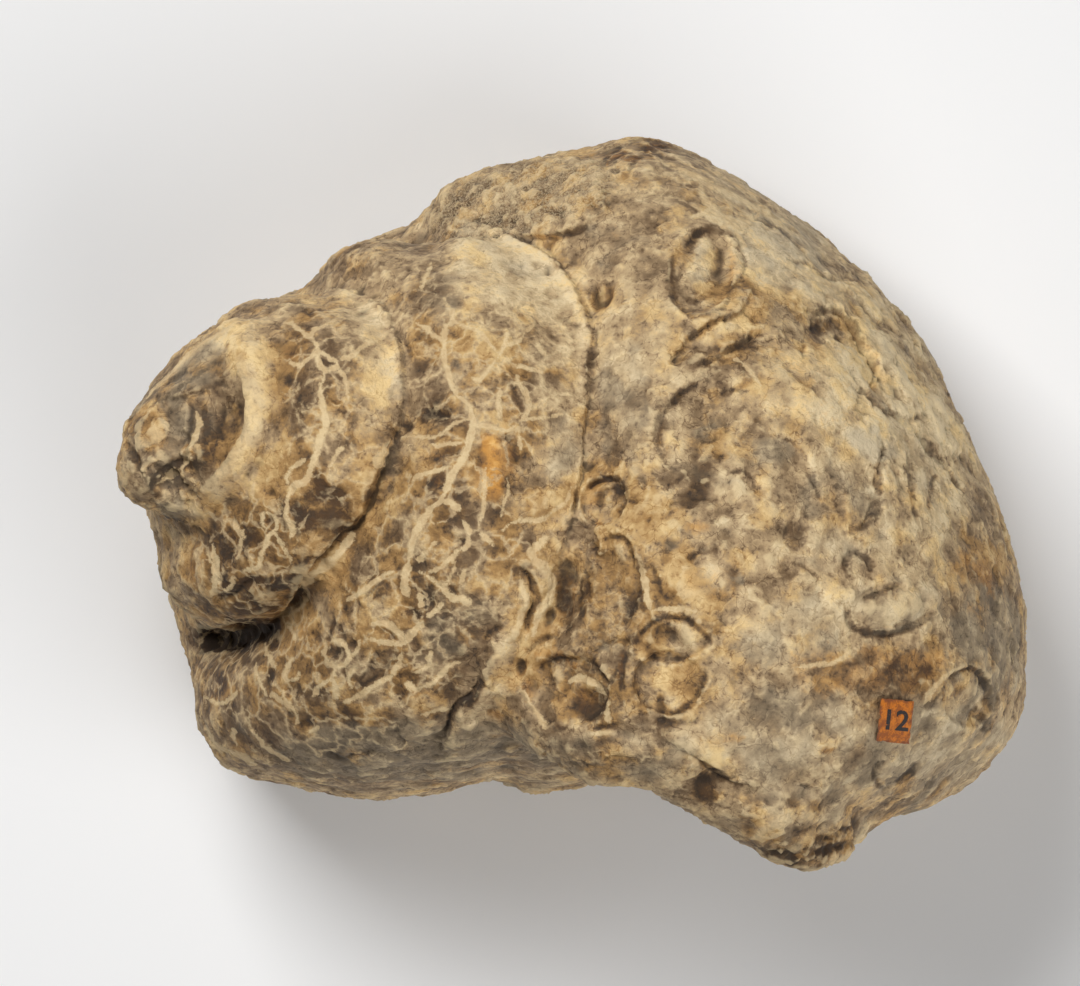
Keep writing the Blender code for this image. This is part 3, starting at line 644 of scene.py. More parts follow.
# Most of these are darker stone. Those low down, from y 740 to 850, and the one on the far right edge are
# painted shade where the edges turn away from the light. The two strongest, under the tip, and the flat one
# just above them are a painted shadow in the narrow gap there.
DARKER = [
    ((250, 560), (60, 55), -20, 0.85), ((325, 512), (40, 34), 0, 0.85), ((470, 470), (90, 130), 10, 0.35),
    ((170, 430), (46, 64), 15, 0.45), ((560, 700), (70, 60), 0, 0.3), ((760, 700), (90, 60), 0, 0.25),
    ((480, 480), (50, 110), 15, 0.3), ((500, 390), (40, 40), 0, 0.2), ((700, 440), (50, 60), 0, 0.25),
    ((660, 260), (24, 70), 12, 0.2), ((780, 500), (50, 40), 0, 0.2), ((600, 440), (12, 60), 0, 0.2),
    ((905, 480), (30, 50), 0, 0.3), ((870, 680), (90, 30), 0, 0.7), ((290, 545), (80, 60), -30, 0.45),
    ((260, 690), (90, 80), 20, 0.3), ((330, 740), (120, 40), 5, 0.45), ((420, 500), (60, 120), 15, 0.35),
    ((310, 420), (45, 90), 0, 0.3), ((440, 640), (70, 70), 0, 0.35), ((425, 350), (28, 90), 0, 0.3),
    ((600, 600), (80, 80), 0, 0.25), ((210, 300), (60, 22), -40, 0.35), ((345, 258), (50, 16), -25, 0.35),
    ((235, 634), (42, 16), -10, 2.4), ((205, 640), (8, 18), -8, 1.8), ((420, 755), (110, 30), -4, 0.4),
    ((690, 488), (36, 24), 0, 0.3), ((620, 760), (90, 20), 0, 0.4), ((815, 845), (60, 26), 0, 0.35),
    ((985, 600), (40, 110), 0, 0.5), ((930, 790), (60, 22), -25, 0.3), ((250, 600), (50, 14), -8, 0.5),
    ((184, 382), (44, 26), -32, 0.3),
]
GREYER = [
    ((505, 245), (60, 18), 20, 0.3), ((165, 440), (50, 60), 0, 0.45), ((450, 300), (30, 40), 0, 0.25),
    ((400, 750), (120, 34), 0, 0.7), ((490, 745), (50, 24), 0, 0.4), ((560, 470), (18, 60), 0, 0.35),
    ((620, 410), (26, 80), 0, 0.3), ((840, 520), (60, 50), 0, 0.3), ((800, 630), (50, 40), 0, 0.4),
    ((900, 605), (50, 30), 0, 0.3), ((790, 730), (90, 50), 0, 0.35), ((990, 640), (40, 60), 0, 0.55),
    ((940, 760), (80, 60), 0, 0.5), ((780, 250), (50, 40), 40, 0.4), ((620, 755), (90, 24), 0, 0.4),
    ((440, 610), (60, 50), 0, 0.35), ((800, 820), (70, 40), 0, 0.35),
]
GOLDEN = [
    ((250, 575), (60, 40), -20, 0.4), ((925, 665), (60, 30), 0, 0.6), ((190, 450), (24, 18), 0, 0.6),
    ((592, 500), (30, 30), 0, 0.6), ((970, 590), (40, 50), 30, 0.5), ((290, 540), (120, 90), -20, 0.9),
    ((250, 420), (150, 130), 0, 0.45), ((430, 480), (110, 200), 10, 0.5), ((300, 660), (130, 60), 10, 0.55),
    ((600, 590), (110, 130), 0, 0.85), ((668, 665), (60, 60), 0, 0.4), ((492, 470), (40, 60), 0, 0.5),
    ((560, 180), (120, 50), -12, 0.3), ((770, 330), (90, 60), 30, 0.6), ((720, 590), (60, 50), 0, 0.5),
    ((830, 380), (60, 60), 0, 0.5), ((745, 300), (40, 24), -35, 0.9), ((820, 850), (60, 26), 0, 0.4),
]
RUSTIER = [
    ((494, 468), (19, 42), 0, 0.6), ((440, 462), (30, 22), -10, 0.3), ((300, 590), (60, 24), -20, 0.4),
    ((705, 585), (40, 20), 0, 0.4), ((830, 672), (50, 26), -4, 0.5), ((895, 668), (55, 22), 0, 0.6),
    ((976, 568), (28, 20), 30, 0.5), ((812, 385), (60, 50), 0, 0.25), ((275, 560), (60, 50), 0, 0.2),
    ((840, 850), (20, 8), -15, 0.4), ((750, 300), (34, 18), -35, 0.3), ((560, 680), (40, 40), 0, 0.3),
]
SMOOTH = [
    ((325, 515), (45, 36), 0, 0.9), ((180, 385), (44, 40), -30, 0.9), ((255, 400), (26, 70), 8, 0.8),
    ((605, 600), (50, 50), 0, 0.6), ((665, 670), (50, 50), 0, 0.6), ((612, 505), (30, 28), 0, 0.5),
    ((700, 265), (40, 50), 12, 0.7), ((380, 370), (30, 70), 0, 0.6), ((225, 480), (24, 40), 30, 0.6),
]
NETTED = [
    ((500, 380), (85, 90), 0, 0.7), ((330, 400), (50, 110), 0, 0.6), ((440, 560), (80, 110), 20, 0.9),
    ((300, 680), (110, 70), 20, 1.0), ((250, 550), (60, 60), 0, 0.8), ((390, 640), (70, 60), 0, 0.9),
    ((700, 190), (120, 40), 20, 0.5), ((820, 260), (60, 60), 40, 0.5), ((590, 630), (60, 80), 0, 0.4),
    ((430, 300), (40, 60), 0, 0.5),
]

print("zones:", sum(len(ovals) for ovals in (LIGHTER, DARKER, GREYER, GOLDEN, RUSTIER, SMOOTH, NETTED)))

# %% [markdown]
# Small patches are dabs of a soft brush: a strength, half the brush's width in pixels, and the line that it
# follows. A short line is a spot. The dark ones are dirt, bits of old shell, and painted shade in pits and
# grooves and beside rims.

# %% Dark dabs
DARK_DABS = [
    # the worn tip
    (0.5, 1.3, [(188, 362), (200, 355), (216, 346)]), (0.4, 1.3, [(185, 376), (205, 366), (228, 358)]),
    (0.4, 1.8, [(228, 342), (236, 348), (238, 360)]), (0.35, 1.3, [(190, 388), (210, 378), (232, 374)]),
    (0.9, 11, [(229, 402), (230, 420), (222, 440), (212, 458), (204, 472)]),
    (0.7, 3.5, [(239, 390), (241, 412), (233, 432)]), (0.9, 3, [(203, 408), (207, 428), (205, 448)]),
    (1.0, 2.2, [(192, 403), (191, 422), (187, 440)]),
    (1.4, 4, [(168, 468), (178, 465), (190, 467), (198, 463)]), (1.0, 5, [(172, 478), (176, 490)]),
    (1.2, 3.5, [(158, 476), (150, 488), (160, 498)]), (0.8, 3, [(155, 416), (160, 424)]),
    (0.7, 3, [(150, 440), (158, 438)]), (0.7, 3, [(147, 452), (153, 456)]),
    (0.8, 4, [(172, 408), (176, 424)]), (1.1, 4, [(130, 445), (134, 458), (137, 468)]),
    (0.7, 2, [(202, 510), (213, 516)]), (0.4, 9, [(160, 508), (176, 514), (190, 512)]),
    # second whorl
    (0.6, 4, [(196, 560), (200, 575), (208, 588)]), (0.6, 4, [(228, 530), (230, 548), (226, 562)]),
    (0.5, 5, [(250, 530), (250, 545), (248, 560)]), (1.1, 4, [(220, 580), (225, 585)]),
    (1.4, 4.5, [(220, 598), (235, 590), (248, 582), (262, 577)]),
    (0.8, 7, [(264, 580), (280, 584), (294, 592)]), (0.6, 8, [(235, 606), (258, 608), (280, 606)]),
    (0.7, 3, [(270, 545), (274, 555), (280, 565)]), (0.9, 5, [(268, 492), (275, 494)]),
    (0.8, 3.5, [(267, 520), (273, 522)]), (0.9, 3, [(280, 506), (281, 518)]),
    (1.0, 4, [(284, 524), (286, 532)]), (1.5, 7, [(318, 474), (322, 490)]),
    (1.5, 6, [(304, 497), (322, 492), (347, 503)]), (0.8, 12, [(310, 520), (328, 520), (345, 513)]),
    (1.3, 5, [(296, 508), (300, 520), (298, 536)]), (0.7, 3.5, [(342, 510), (349, 511)]),
    (0.7, 6, [(342, 538), (326, 550), (310, 562), (296, 574)]),
    (1.4, 3.5, [(284, 610), (294, 602), (300, 594)]), (0.7, 7, [(293, 378), (297, 394)]),
    (0.6, 5, [(306, 372), (312, 384)]), (0.6, 7, [(300, 404), (303, 420)]),
    (0.8, 4.5, [(314, 420), (318, 428)]), (0.9, 4, [(321, 362), (329, 363)]),
    (0.7, 2, [(331, 382), (327, 392), (330, 404)]), (0.7, 2, [(341, 380), (343, 392), (340, 404)]),
    (0.5, 5, [(347, 366), (359, 366)]), (0.5, 2, [(353, 388), (354, 406)]),
    (0.5, 2, [(352, 432), (353, 446)]), (0.6, 7, [(276, 346), (288, 356)]),
    (0.4, 7, [(326, 336), (330, 348)]), (0.4, 6, [(290, 334), (298, 338)]),
    (0.5, 6, [(284, 386), (284, 420)]), (0.5, 5, [(302, 446), (306, 462)]),
    (0.6, 3, [(297, 428), (292, 440)]), (0.9, 3, [(306, 311), (311, 313)]),
    (0.9, 3, [(307, 327), (312, 329)]), (0.7, 3, [(294, 472), (300, 468)]),
    (1.0, 5, [(162, 540), (168, 546)]),
    # third whorl
    (0.6, 7, [(460, 334), (457, 352), (456, 370)]), (0.5, 3, [(480, 348), (470, 356)]),
    (0.45, 7, [(474, 362), (484, 360)]), (0.8, 2.5, [(458, 316), (468, 320), (480, 318)]),
    (0.6, 6, [(416, 328), (426, 340), (434, 350)]), (0.7, 2.5, [(404, 338), (412, 356), (418, 372)]),
    (0.7, 2.5, [(419, 358), (426, 376)]), (0.4, 5, [(394, 286), (396, 302)]),
    (0.6, 2, [(410, 262), (408, 276)]), (0.5, 4, [(392, 256), (396, 270)]),
    (0.6, 2.5, [(417, 284), (410, 300)]), (0.35, 9, [(424, 292), (428, 310)]),
    # the black of this pit and the brown above it are painted shade
    (1.9, 4.5, [(420, 419), (434, 411), (448, 419)]), (0.5, 6, [(424, 402), (444, 402), (458, 410)]),
    (1.1, 4.5, [(403, 420), (410, 430)]), (1.0, 3.5, [(391, 432), (396, 434)]),
    (0.7, 2, [(438, 434), (456, 430)]), (0.9, 5.5, [(424, 462), (440, 455), (456, 450)]),
    (0.9, 5.5, [(426, 488), (437, 482), (445, 475)]), (0.6, 6, [(419, 496), (428, 494)]),
    (0.8, 4.5, [(460, 472), (458, 488), (455, 499)]), (0.7, 5, [(438, 520), (452, 510)]),
    (0.45, 9, [(398, 456), (406, 476)]), (1.3, 3.5, [(504, 436), (511, 438)]),
    (1.0, 4.5, [(513, 448), (517, 462)]), (0.9, 2.5, [(500, 478), (502, 490)]),
    (0.7, 7, [(497, 500), (498, 514)]), (0.7, 5, [(531, 424), (528, 442)]),
    (1.0, 4, [(525, 455), (531, 458)]), (0.9, 3, [(513, 384), (517, 400)]),
    (0.9, 3, [(521, 402), (523, 418)]), (0.5, 6, [(525, 374), (533, 384), (530, 398)]),
    (0.5, 4, [(548, 370), (556, 380)]), (0.5, 8, [(543, 326), (550, 336)]),
    (0.9, 3, [(549, 350), (556, 354)]), (0.45, 9, [(518, 346), (526, 352)]),
    (0.5, 4, [(532, 357), (545, 360)]), (0.5, 4, [(505, 372), (512, 382)]),
    (0.6, 4, [(479, 388), (474, 400)]), (0.8, 3, [(493, 342), (498, 348)]),
    (0.5, 4, [(494, 328), (500, 334)]), (0.9, 2.2, [(491, 303), (494, 314)]),
    (0.6, 2.5, [(484, 265), (488, 277)]), (0.8, 3.2, [(528, 264), (536, 266)]),
    (0.6, 2.5, [(451, 258), (457, 260)]), (0.6, 5, [(442, 238), (454, 238)]),
    (0.6, 2.5, [(409, 234), (417, 236)]), (0.6, 2.5, [(424, 246), (433, 246)]),
    (0.4, 3, [(465, 248), (473, 252)]), (0.4, 2, [(490, 252), (505, 254)]),
    (0.5, 3, [(432, 270), (437, 275)]), (0.5, 4, [(427, 286), (436, 290)]),
    (0.4, 3, [(470, 266), (477, 271)]), (0.4, 3, [(488, 296), (498, 298)]),
    (0.6, 3, [(514, 314), (524, 315)]), (0.9, 2.5, [(567, 407), (573, 410)]),
    (0.9, 2.2, [(572, 394), (577, 396)]), (0.7, 2.5, [(571, 424), (575, 431)]),
    (0.6, 2.5, [(562, 444), (568, 450)]), (0.6, 2.5, [(566, 462), (571, 468)]),
    # painted shade in the groove right of the third whorl, and on the next two lines under the ridge along
    # its top
    (0.35, 3.0, [(560, 262), (574, 284), (586, 312), (591, 335), (590, 370), (588, 400), (584, 432)]),
    (1.0, 2.4, [(504, 231), (522, 239), (540, 246)]),
    (0.9, 2.4, [(524, 234), (546, 238), (566, 234), (586, 226)]), (0.7, 4, [(542, 245), (558, 246)]),
    (0.9, 2.5, [(579, 488), (575, 502)]), (0.6, 10, [(470, 600), (478, 630)]),
    (0.9, 4.5, [(412, 578), (416, 590)]), (1.1, 6, [(424, 592), (428, 606)]),
    (1.1, 5, [(408, 610), (420, 616)]), (0.8, 5, [(432, 574), (440, 576)]),
    (0.9, 2.6, [(444, 588), (450, 574)]), (0.8, 5, [(455, 586), (452, 594)]),
    (0.9, 3, [(457, 540), (463, 541)]), (0.6, 6, [(414, 570), (426, 562)]),
    (0.7, 3, [(446, 566), (451, 560)]), (0.8, 10, [(440, 634), (456, 650)]),
    (0.8, 5, [(436, 614), (448, 612)]), (0.7, 6, [(416, 640), (422, 654)]),
    (0.9, 2.4, [(486, 640), (492, 632), (502, 628)]), (0.7, 5, [(408, 676), (426, 678)]),
    (0.6, 10, [(452, 686), (444, 700)]), (0.8, 5, [(396, 694), (412, 700)]),
    (1.3, 3, [(482, 680), (476, 692), (468, 700), (458, 706), (454, 714)]),
    (1.2, 3, [(452, 714), (449, 732)]), (0.6, 8, [(420, 718), (436, 720)]),
    (0.7, 4, [(371, 576), (377, 570)]), (0.6, 6, [(348, 566), (352, 558)]),
    (0.8, 2, [(364, 606), (372, 600), (382, 590)]),
    # third whorl, low on the left
    (1.1, 6, [(333, 652), (339, 654)]), (1.0, 3, [(327, 640), (331, 628), (336, 622)]),
    (0.9, 2.6, [(338, 628), (344, 636)]), (0.9, 3, [(350, 643), (355, 644)]),
    (0.8, 5, [(347, 605), (348, 615)]), (0.9, 3.4, [(372, 628), (386, 632), (398, 640)]),
    (0.8, 9, [(313, 664), (321, 672)]), (0.7, 5, [(301, 658), (302, 672)]),
    (0.8, 5, [(270, 640), (275, 650)]), (1.0, 5, [(267, 668), (270, 684)]),
    (0.9, 7, [(287, 684), (295, 694)]), (0.6, 4, [(282, 658), (288, 664)]),
    (0.9, 3, [(311, 631), (316, 636)]), (0.7, 4, [(306, 640), (310, 652)]),
    (1.0, 3, [(369, 664), (376, 668)]), (1.0, 2.4, [(386, 670), (394, 662), (402, 654)]),
    (1.1, 2.4, [(356, 690), (368, 682), (378, 676)]), (0.6, 5, [(346, 668), (350, 682)]),
    (0.6, 6, [(321, 690), (326, 700)]), (1.1, 5, [(301, 728), (312, 720)]),
    (1.0, 4, [(317, 716), (328, 720)]), (0.9, 7, [(344, 714), (360, 712)]),
    (0.9, 2.2, [(350, 756), (360, 755), (368, 753)]), (1.0, 3, [(328, 754), (336, 758), (342, 762)]),
    (0.6, 6, [(349, 734), (360, 740)]), (0.5, 12, [(384, 728), (396, 730)]),
    (1.1, 2.4, [(397, 736), (404, 742)]), (0.9, 2.2, [(408, 716), (404, 730)]),
    (0.8, 4, [(211, 708), (206, 716)]), (0.6, 5, [(228, 700), (236, 712)]),
    (0.8, 5, [(217, 692), (221, 676)]), (0.5, 4, [(244, 686), (252, 696)]),
    (0.8, 2.4, [(267, 740), (274, 748)]), (0.7, 3, [(282, 752), (288, 760)]),
    # crust and the top of the last whorl
    (1.0, 2.5, [(434, 203), (436, 209)]), (1.2, 2, [(456, 198), (461, 198)]),
    (0.8, 2, [(477, 227), (472, 232)]), (0.5, 5, [(541, 202), (548, 208)]),
    (0.4, 6, [(503, 222), (514, 218)]), (0.5, 5, [(591, 196), (603, 196)]),
    (0.6, 3.5, [(591, 208), (597, 210)]), (0.7, 2.5, [(619, 213), (622, 217)]),
    (0.9, 2.5, [(622, 175), (626, 177)]), (1.2, 1.8, [(604, 148), (611, 144), (621, 147)]),
    (1.3, 2, [(603, 158), (612, 152), (622, 150)]),
    (1.2, 3.2, [(607, 164), (616, 158), (628, 159), (641, 160)]), (1.2, 2.2, [(611, 172), (619, 167)]),
    (1.1, 3, [(646, 150), (652, 144), (664, 142), (677, 144)]), (1.0, 2, [(653, 157), (646, 152)]),
    (0.8, 3, [(638, 137), (658, 138), (674, 143)]), (0.6, 3.5, [(666, 167), (671, 169)]),
    (0.6, 3.5, [(684, 167), (690, 169)]), (0.8, 3.5, [(688, 186), (693, 188)]),
    (1.8, 3.4, [(601, 281), (593, 291), (592, 300), (598, 307), (606, 300), (610, 290), (603, 281)]),
    # the oval ring and what lies below it
    # painted shade on the upper and left inner walls of the oval ring, and on the upper left edge of the pale
    # oval below it
    (1.1, 1.9, [(686, 258), (681, 272), (678, 286), (684, 297), (696, 301), (708, 296), (716, 284)]),
    (1.4, 3.8, [(685, 257), (690, 244), (698, 234), (710, 229), (722, 231), (732, 238)]),
    (0.8, 5, [(674, 250), (670, 268), (670, 285), (680, 304), (700, 310), (718, 304)]),
    (0.9, 1.9, [(668, 280), (672, 297), (682, 312), (696, 319), (718, 320), (736, 315)]),
    (0.7, 1.9, [(721, 242), (720, 262), (718, 282)]), (0.4, 2.5, [(703, 256), (704, 268)]),
    (0.7, 2.5, [(692, 278), (705, 277)]), (1.1, 3.2, [(698, 335), (708, 327), (717, 322)]),
    (1.3, 4.5, [(752, 334), (761, 332)]), (0.8, 3, [(758, 338), (742, 345), (725, 350), (706, 351)]),
    (0.6, 3, [(675, 352), (690, 346), (702, 352), (722, 358)]), (0.7, 4, [(727, 286), (733, 291)]),
    (0.5, 3, [(738, 362), (745, 376), (741, 392)]), (1.3, 4, [(697, 383), (684, 390), (673, 401)]),
    (1.0, 3.4, [(722, 394), (732, 392), (743, 385)]), (1.1, 3, [(665, 418), (660, 432), (658, 446)]),
    (0.45, 6, [(686, 366), (708, 362), (730, 368)]),
    # upper right
    (1.1, 6, [(816, 331), (824, 324), (836, 322), (850, 328)]), (1.2, 4, [(838, 333), (844, 343)]),
    (1.0, 2, [(818, 307), (830, 311), (842, 317), (853, 329), (862, 342), (872, 354)]),
    (0.8, 2.5, [(805, 338), (804, 352)]), (0.6, 3.5, [(872, 354), (875, 372)]),
    (0.6, 2.4, [(787, 298), (796, 308)]), (0.6, 3, [(796, 317), (799, 325)]),
    (0.5, 2.5, [(782, 330), (794, 331)]), (0.7, 2.4, [(746, 219), (765, 221), (780, 228), (792, 240)]),
    (0.6, 2, [(785, 258), (805, 265), (826, 276)]),
    (0.9, 4.5, [(820, 256), (835, 266), (850, 276), (863, 280)]), (0.6, 2.6, [(770, 273), (784, 278)]),
    (0.7, 6, [(723, 211), (741, 212)]), (0.7, 4.5, [(751, 206), (761, 210)]),
    (0.5, 3, [(796, 240), (804, 252)]), (0.5, 2.2, [(880, 320), (895, 330), (905, 346)]),
    (0.9, 4, [(906, 346), (911, 355)]), (0.5, 12, [(918, 366), (930, 388)]),
    (0.8, 3.4, [(864, 390), (874, 398), (886, 408), (898, 416)]), (0.7, 3, [(914, 416), (923, 418)]),
    (0.6, 4, [(873, 383), (868, 393)]), (0.5, 3, [(893, 316), (902, 330)]),
    # the middle of the last whorl
    (0.9, 2.4, [(757, 418), (750, 431), (742, 440), (732, 451)]), (1.3, 5, [(715, 457), (725, 459)]),
    (1.2, 6, [(703, 464), (711, 468)]), (1.2, 9, [(702, 474), (697, 490), (685, 502)]),
    (0.9, 2, [(668, 487), (678, 480), (690, 474)]),
    (1.0, 2.2, [(728, 476), (738, 472), (750, 476), (756, 488)]), (1.0, 4, [(756, 491), (760, 499)]),
    (0.6, 2.4, [(765, 434), (779, 437)]),
    (0.8, 2.4, [(782, 437), (795, 443), (804, 455), (808, 470), (815, 486), (820, 500)]),
    (0.8, 2.6, [(807, 440), (812, 445)]), (0.4, 17, [(745, 452), (780, 452)]),
    (1.2, 8, [(794, 524), (796, 546)]), (1.0, 2.6, [(794, 563), (805, 568), (816, 576)]),
    (1.1, 4, [(802, 587), (811, 589)]), (0.6, 4, [(787, 579), (794, 573)]),
    (1.0, 5, [(735, 573), (736, 593)]), (0.8, 1.9, [(744, 582), (756, 581), (770, 578), (779, 572)]),
    (0.8, 5, [(666, 543), (668, 559)]), (1.1, 3.5, [(688, 556), (694, 557)]),
    (0.8, 2.2, [(684, 560), (694, 554), (708, 552), (721, 545)]),
    (0.8, 2.2, [(650, 564), (656, 578), (660, 594)]), (0.6, 3.5, [(662, 596), (690, 597), (728, 597)]),
    (0.9, 2.8, [(790, 634), (796, 640)]),
    # the right side
    (1.3, 3, [(884, 446), (880, 460), (879, 478), (880, 496)]),
    (1.3, 4, [(877, 500), (878, 510), (872, 520)]), (0.9, 3, [(872, 520), (862, 527), (848, 533)]),
    (0.9, 2.6, [(905, 464), (911, 478), (912, 496), (915, 508), (921, 517)]),
    (0.6, 10, [(896, 500), (900, 522)]), (0.8, 3, [(937, 474), (933, 492), (930, 510)]),
    (1.0, 2.6, [(928, 440), (937, 451), (947, 463), (953, 476), (958, 486)]),
    (0.7, 3, [(963, 490), (968, 495)]), (0.8, 4, [(900, 534), (899, 556)]),
    (1.0, 3.6, [(843, 570), (848, 560), (856, 555), (866, 556), (872, 564), (871, 573)]),
    (0.9, 3, [(844, 492), (849, 496)]), (0.7, 3, [(862, 495), (874, 498)]),
    (1.1, 3, [(846, 606), (850, 618), (858, 630)]),
    (1.3, 4.2, [(856, 630), (875, 634), (897, 633), (912, 628), (925, 621), (935, 612)]),
    (0.9, 2.6, [(866, 598), (880, 593), (894, 588)]),
    (1.1, 2.6, [(958, 671), (970, 668), (981, 676), (986, 690)]), (1.0, 3, [(962, 685), (958, 695)]),
    (1.2, 4, [(968, 712), (979, 714), (988, 722), (984, 731)]), (1.0, 3, [(925, 706), (934, 702)]),
    (0.6, 6, [(932, 718), (930, 736)]), (0.8, 4, [(947, 738), (953, 744)]),
    (0.6, 3, [(1007, 693), (1010, 701)]), (1.0, 2.6, [(885, 763), (877, 770), (876, 780), (880, 788)]),
    (0.9, 3, [(897, 784), (908, 776), (916, 766)]), (0.9, 6, [(842, 670), (856, 662)]),
    (0.8, 5, [(836, 684), (848, 682)]), (1.0, 5, [(890, 673), (898, 663)]),
    (1.0, 5, [(923, 672), (934, 668)]), (0.8, 5, [(911, 685), (918, 679)]),
    (0.7, 3, [(802, 724), (804, 733)]), (0.7, 4, [(825, 747), (832, 756)]),
    (0.7, 5, [(811, 787), (820, 784)]), (1.0, 5, [(789, 802), (797, 806)]),
    (0.9, 5, [(812, 803), (818, 809)]), (1.6, 10, [(706, 780), (706, 796)]),
    (1.3, 4, [(703, 765), (716, 771)]), (1.0, 3, [(716, 776), (732, 780), (746, 785)]),
    (0.7, 4, [(743, 821), (750, 832)]), (0.8, 4, [(791, 832), (808, 828)]),
    (1.1, 3, [(838, 830), (846, 826), (856, 822)]), (1.2, 3, [(819, 840), (833, 838)]),
    (1.4, 3.5, [(818, 856), (830, 850), (844, 842)]), (0.9, 8, [(770, 858), (800, 862)]),
    # near the lip
    (1.4, 4, [(522, 661), (520, 673)]), (0.9, 2, [(534, 642), (544, 638), (558, 638)]),
    (1.0, 2.6, [(549, 665), (556, 660), (572, 660)]), (0.8, 2.4, [(550, 674), (554, 686)]),
    (1.3, 5.5, [(596, 692), (599, 706), (596, 716)]), (1.2, 4, [(574, 710), (584, 713), (596, 718)]),
    (0.7, 9, [(577, 697), (588, 703)]), (0.8, 2, [(554, 722), (561, 728), (568, 726)]),
    (0.6, 4, [(560, 690), (562, 701)]), (0.9, 2.2, [(592, 728), (606, 727), (616, 726)]),
    (0.5, 6, [(576, 745), (600, 742)]), (1.0, 3, [(594, 650), (606, 645), (622, 641), (640, 640)]),
    (0.9, 2.6, [(590, 656), (597, 668), (606, 681)]), (0.8, 2.2, [(620, 664), (612, 678)]),
    (1.0, 3.6, [(624, 646), (623, 664), (620, 686)]),
    (1.2, 2.6, [(640, 630), (652, 622), (665, 618), (680, 617), (693, 623), (704, 633), (711, 643)]),
    (1.1, 8, [(656, 637), (668, 628)]), (0.9, 4.5, [(640, 642), (652, 650), (660, 658)]),
    (0.8, 6, [(705, 621), (715, 631)]), (0.9, 3, [(632, 680), (634, 694)]),
    (0.7, 8, [(690, 670), (692, 692)]), (0.6, 6, [(676, 670), (680, 690)]),
    (1.0, 2.6, [(703, 672), (704, 688), (700, 700)]), (1.2, 4, [(698, 702), (688, 706), (674, 714)]),
    (0.9, 3.5, [(660, 696), (663, 711)]), (0.8, 4, [(639, 704), (646, 713)]),
    (1.1, 4.5, [(656, 722), (668, 724), (680, 723)]), (0.8, 8, [(564, 580), (566, 614)]),
    (1.2, 4, [(550, 611), (548, 627)]), (0.9, 3.4, [(560, 622), (573, 626)]),
    (0.8, 7, [(586, 586), (584, 614)]), (0.7, 6, [(628, 590), (628, 618)]),
    (1.0, 3, [(641, 586), (640, 598), (643, 612)]),
    (1.0, 2.6, [(524, 571), (530, 578), (534, 590), (539, 598), (535, 607), (530, 616), (527, 628)]),
    (1.1, 3, [(586, 486), (596, 480), (608, 478), (618, 482), (624, 492)]),
    (1.3, 4, [(611, 487), (618, 494), (614, 503)]), (1.1, 3, [(600, 492), (598, 502), (603, 508)]),
    (0.9, 2.6, [(624, 498), (620, 508), (612, 516)]), (1.0, 3, [(631, 500), (638, 504)]),
    (0.9, 2.6, [(604, 538), (614, 536), (625, 540), (631, 550), (632, 564)]),
    (0.8, 5, [(605, 551), (612, 563)]), (1.0, 3, [(590, 545), (596, 551), (603, 558)]),
]

print(len(DARK_DABS), "dark dabs")

# %% [markdown]
# Pale dabs are worn edges, crusts of lime and the plugs of rings. Where one lies on a dark dab the two are
# added up, and the stone comes out in between.

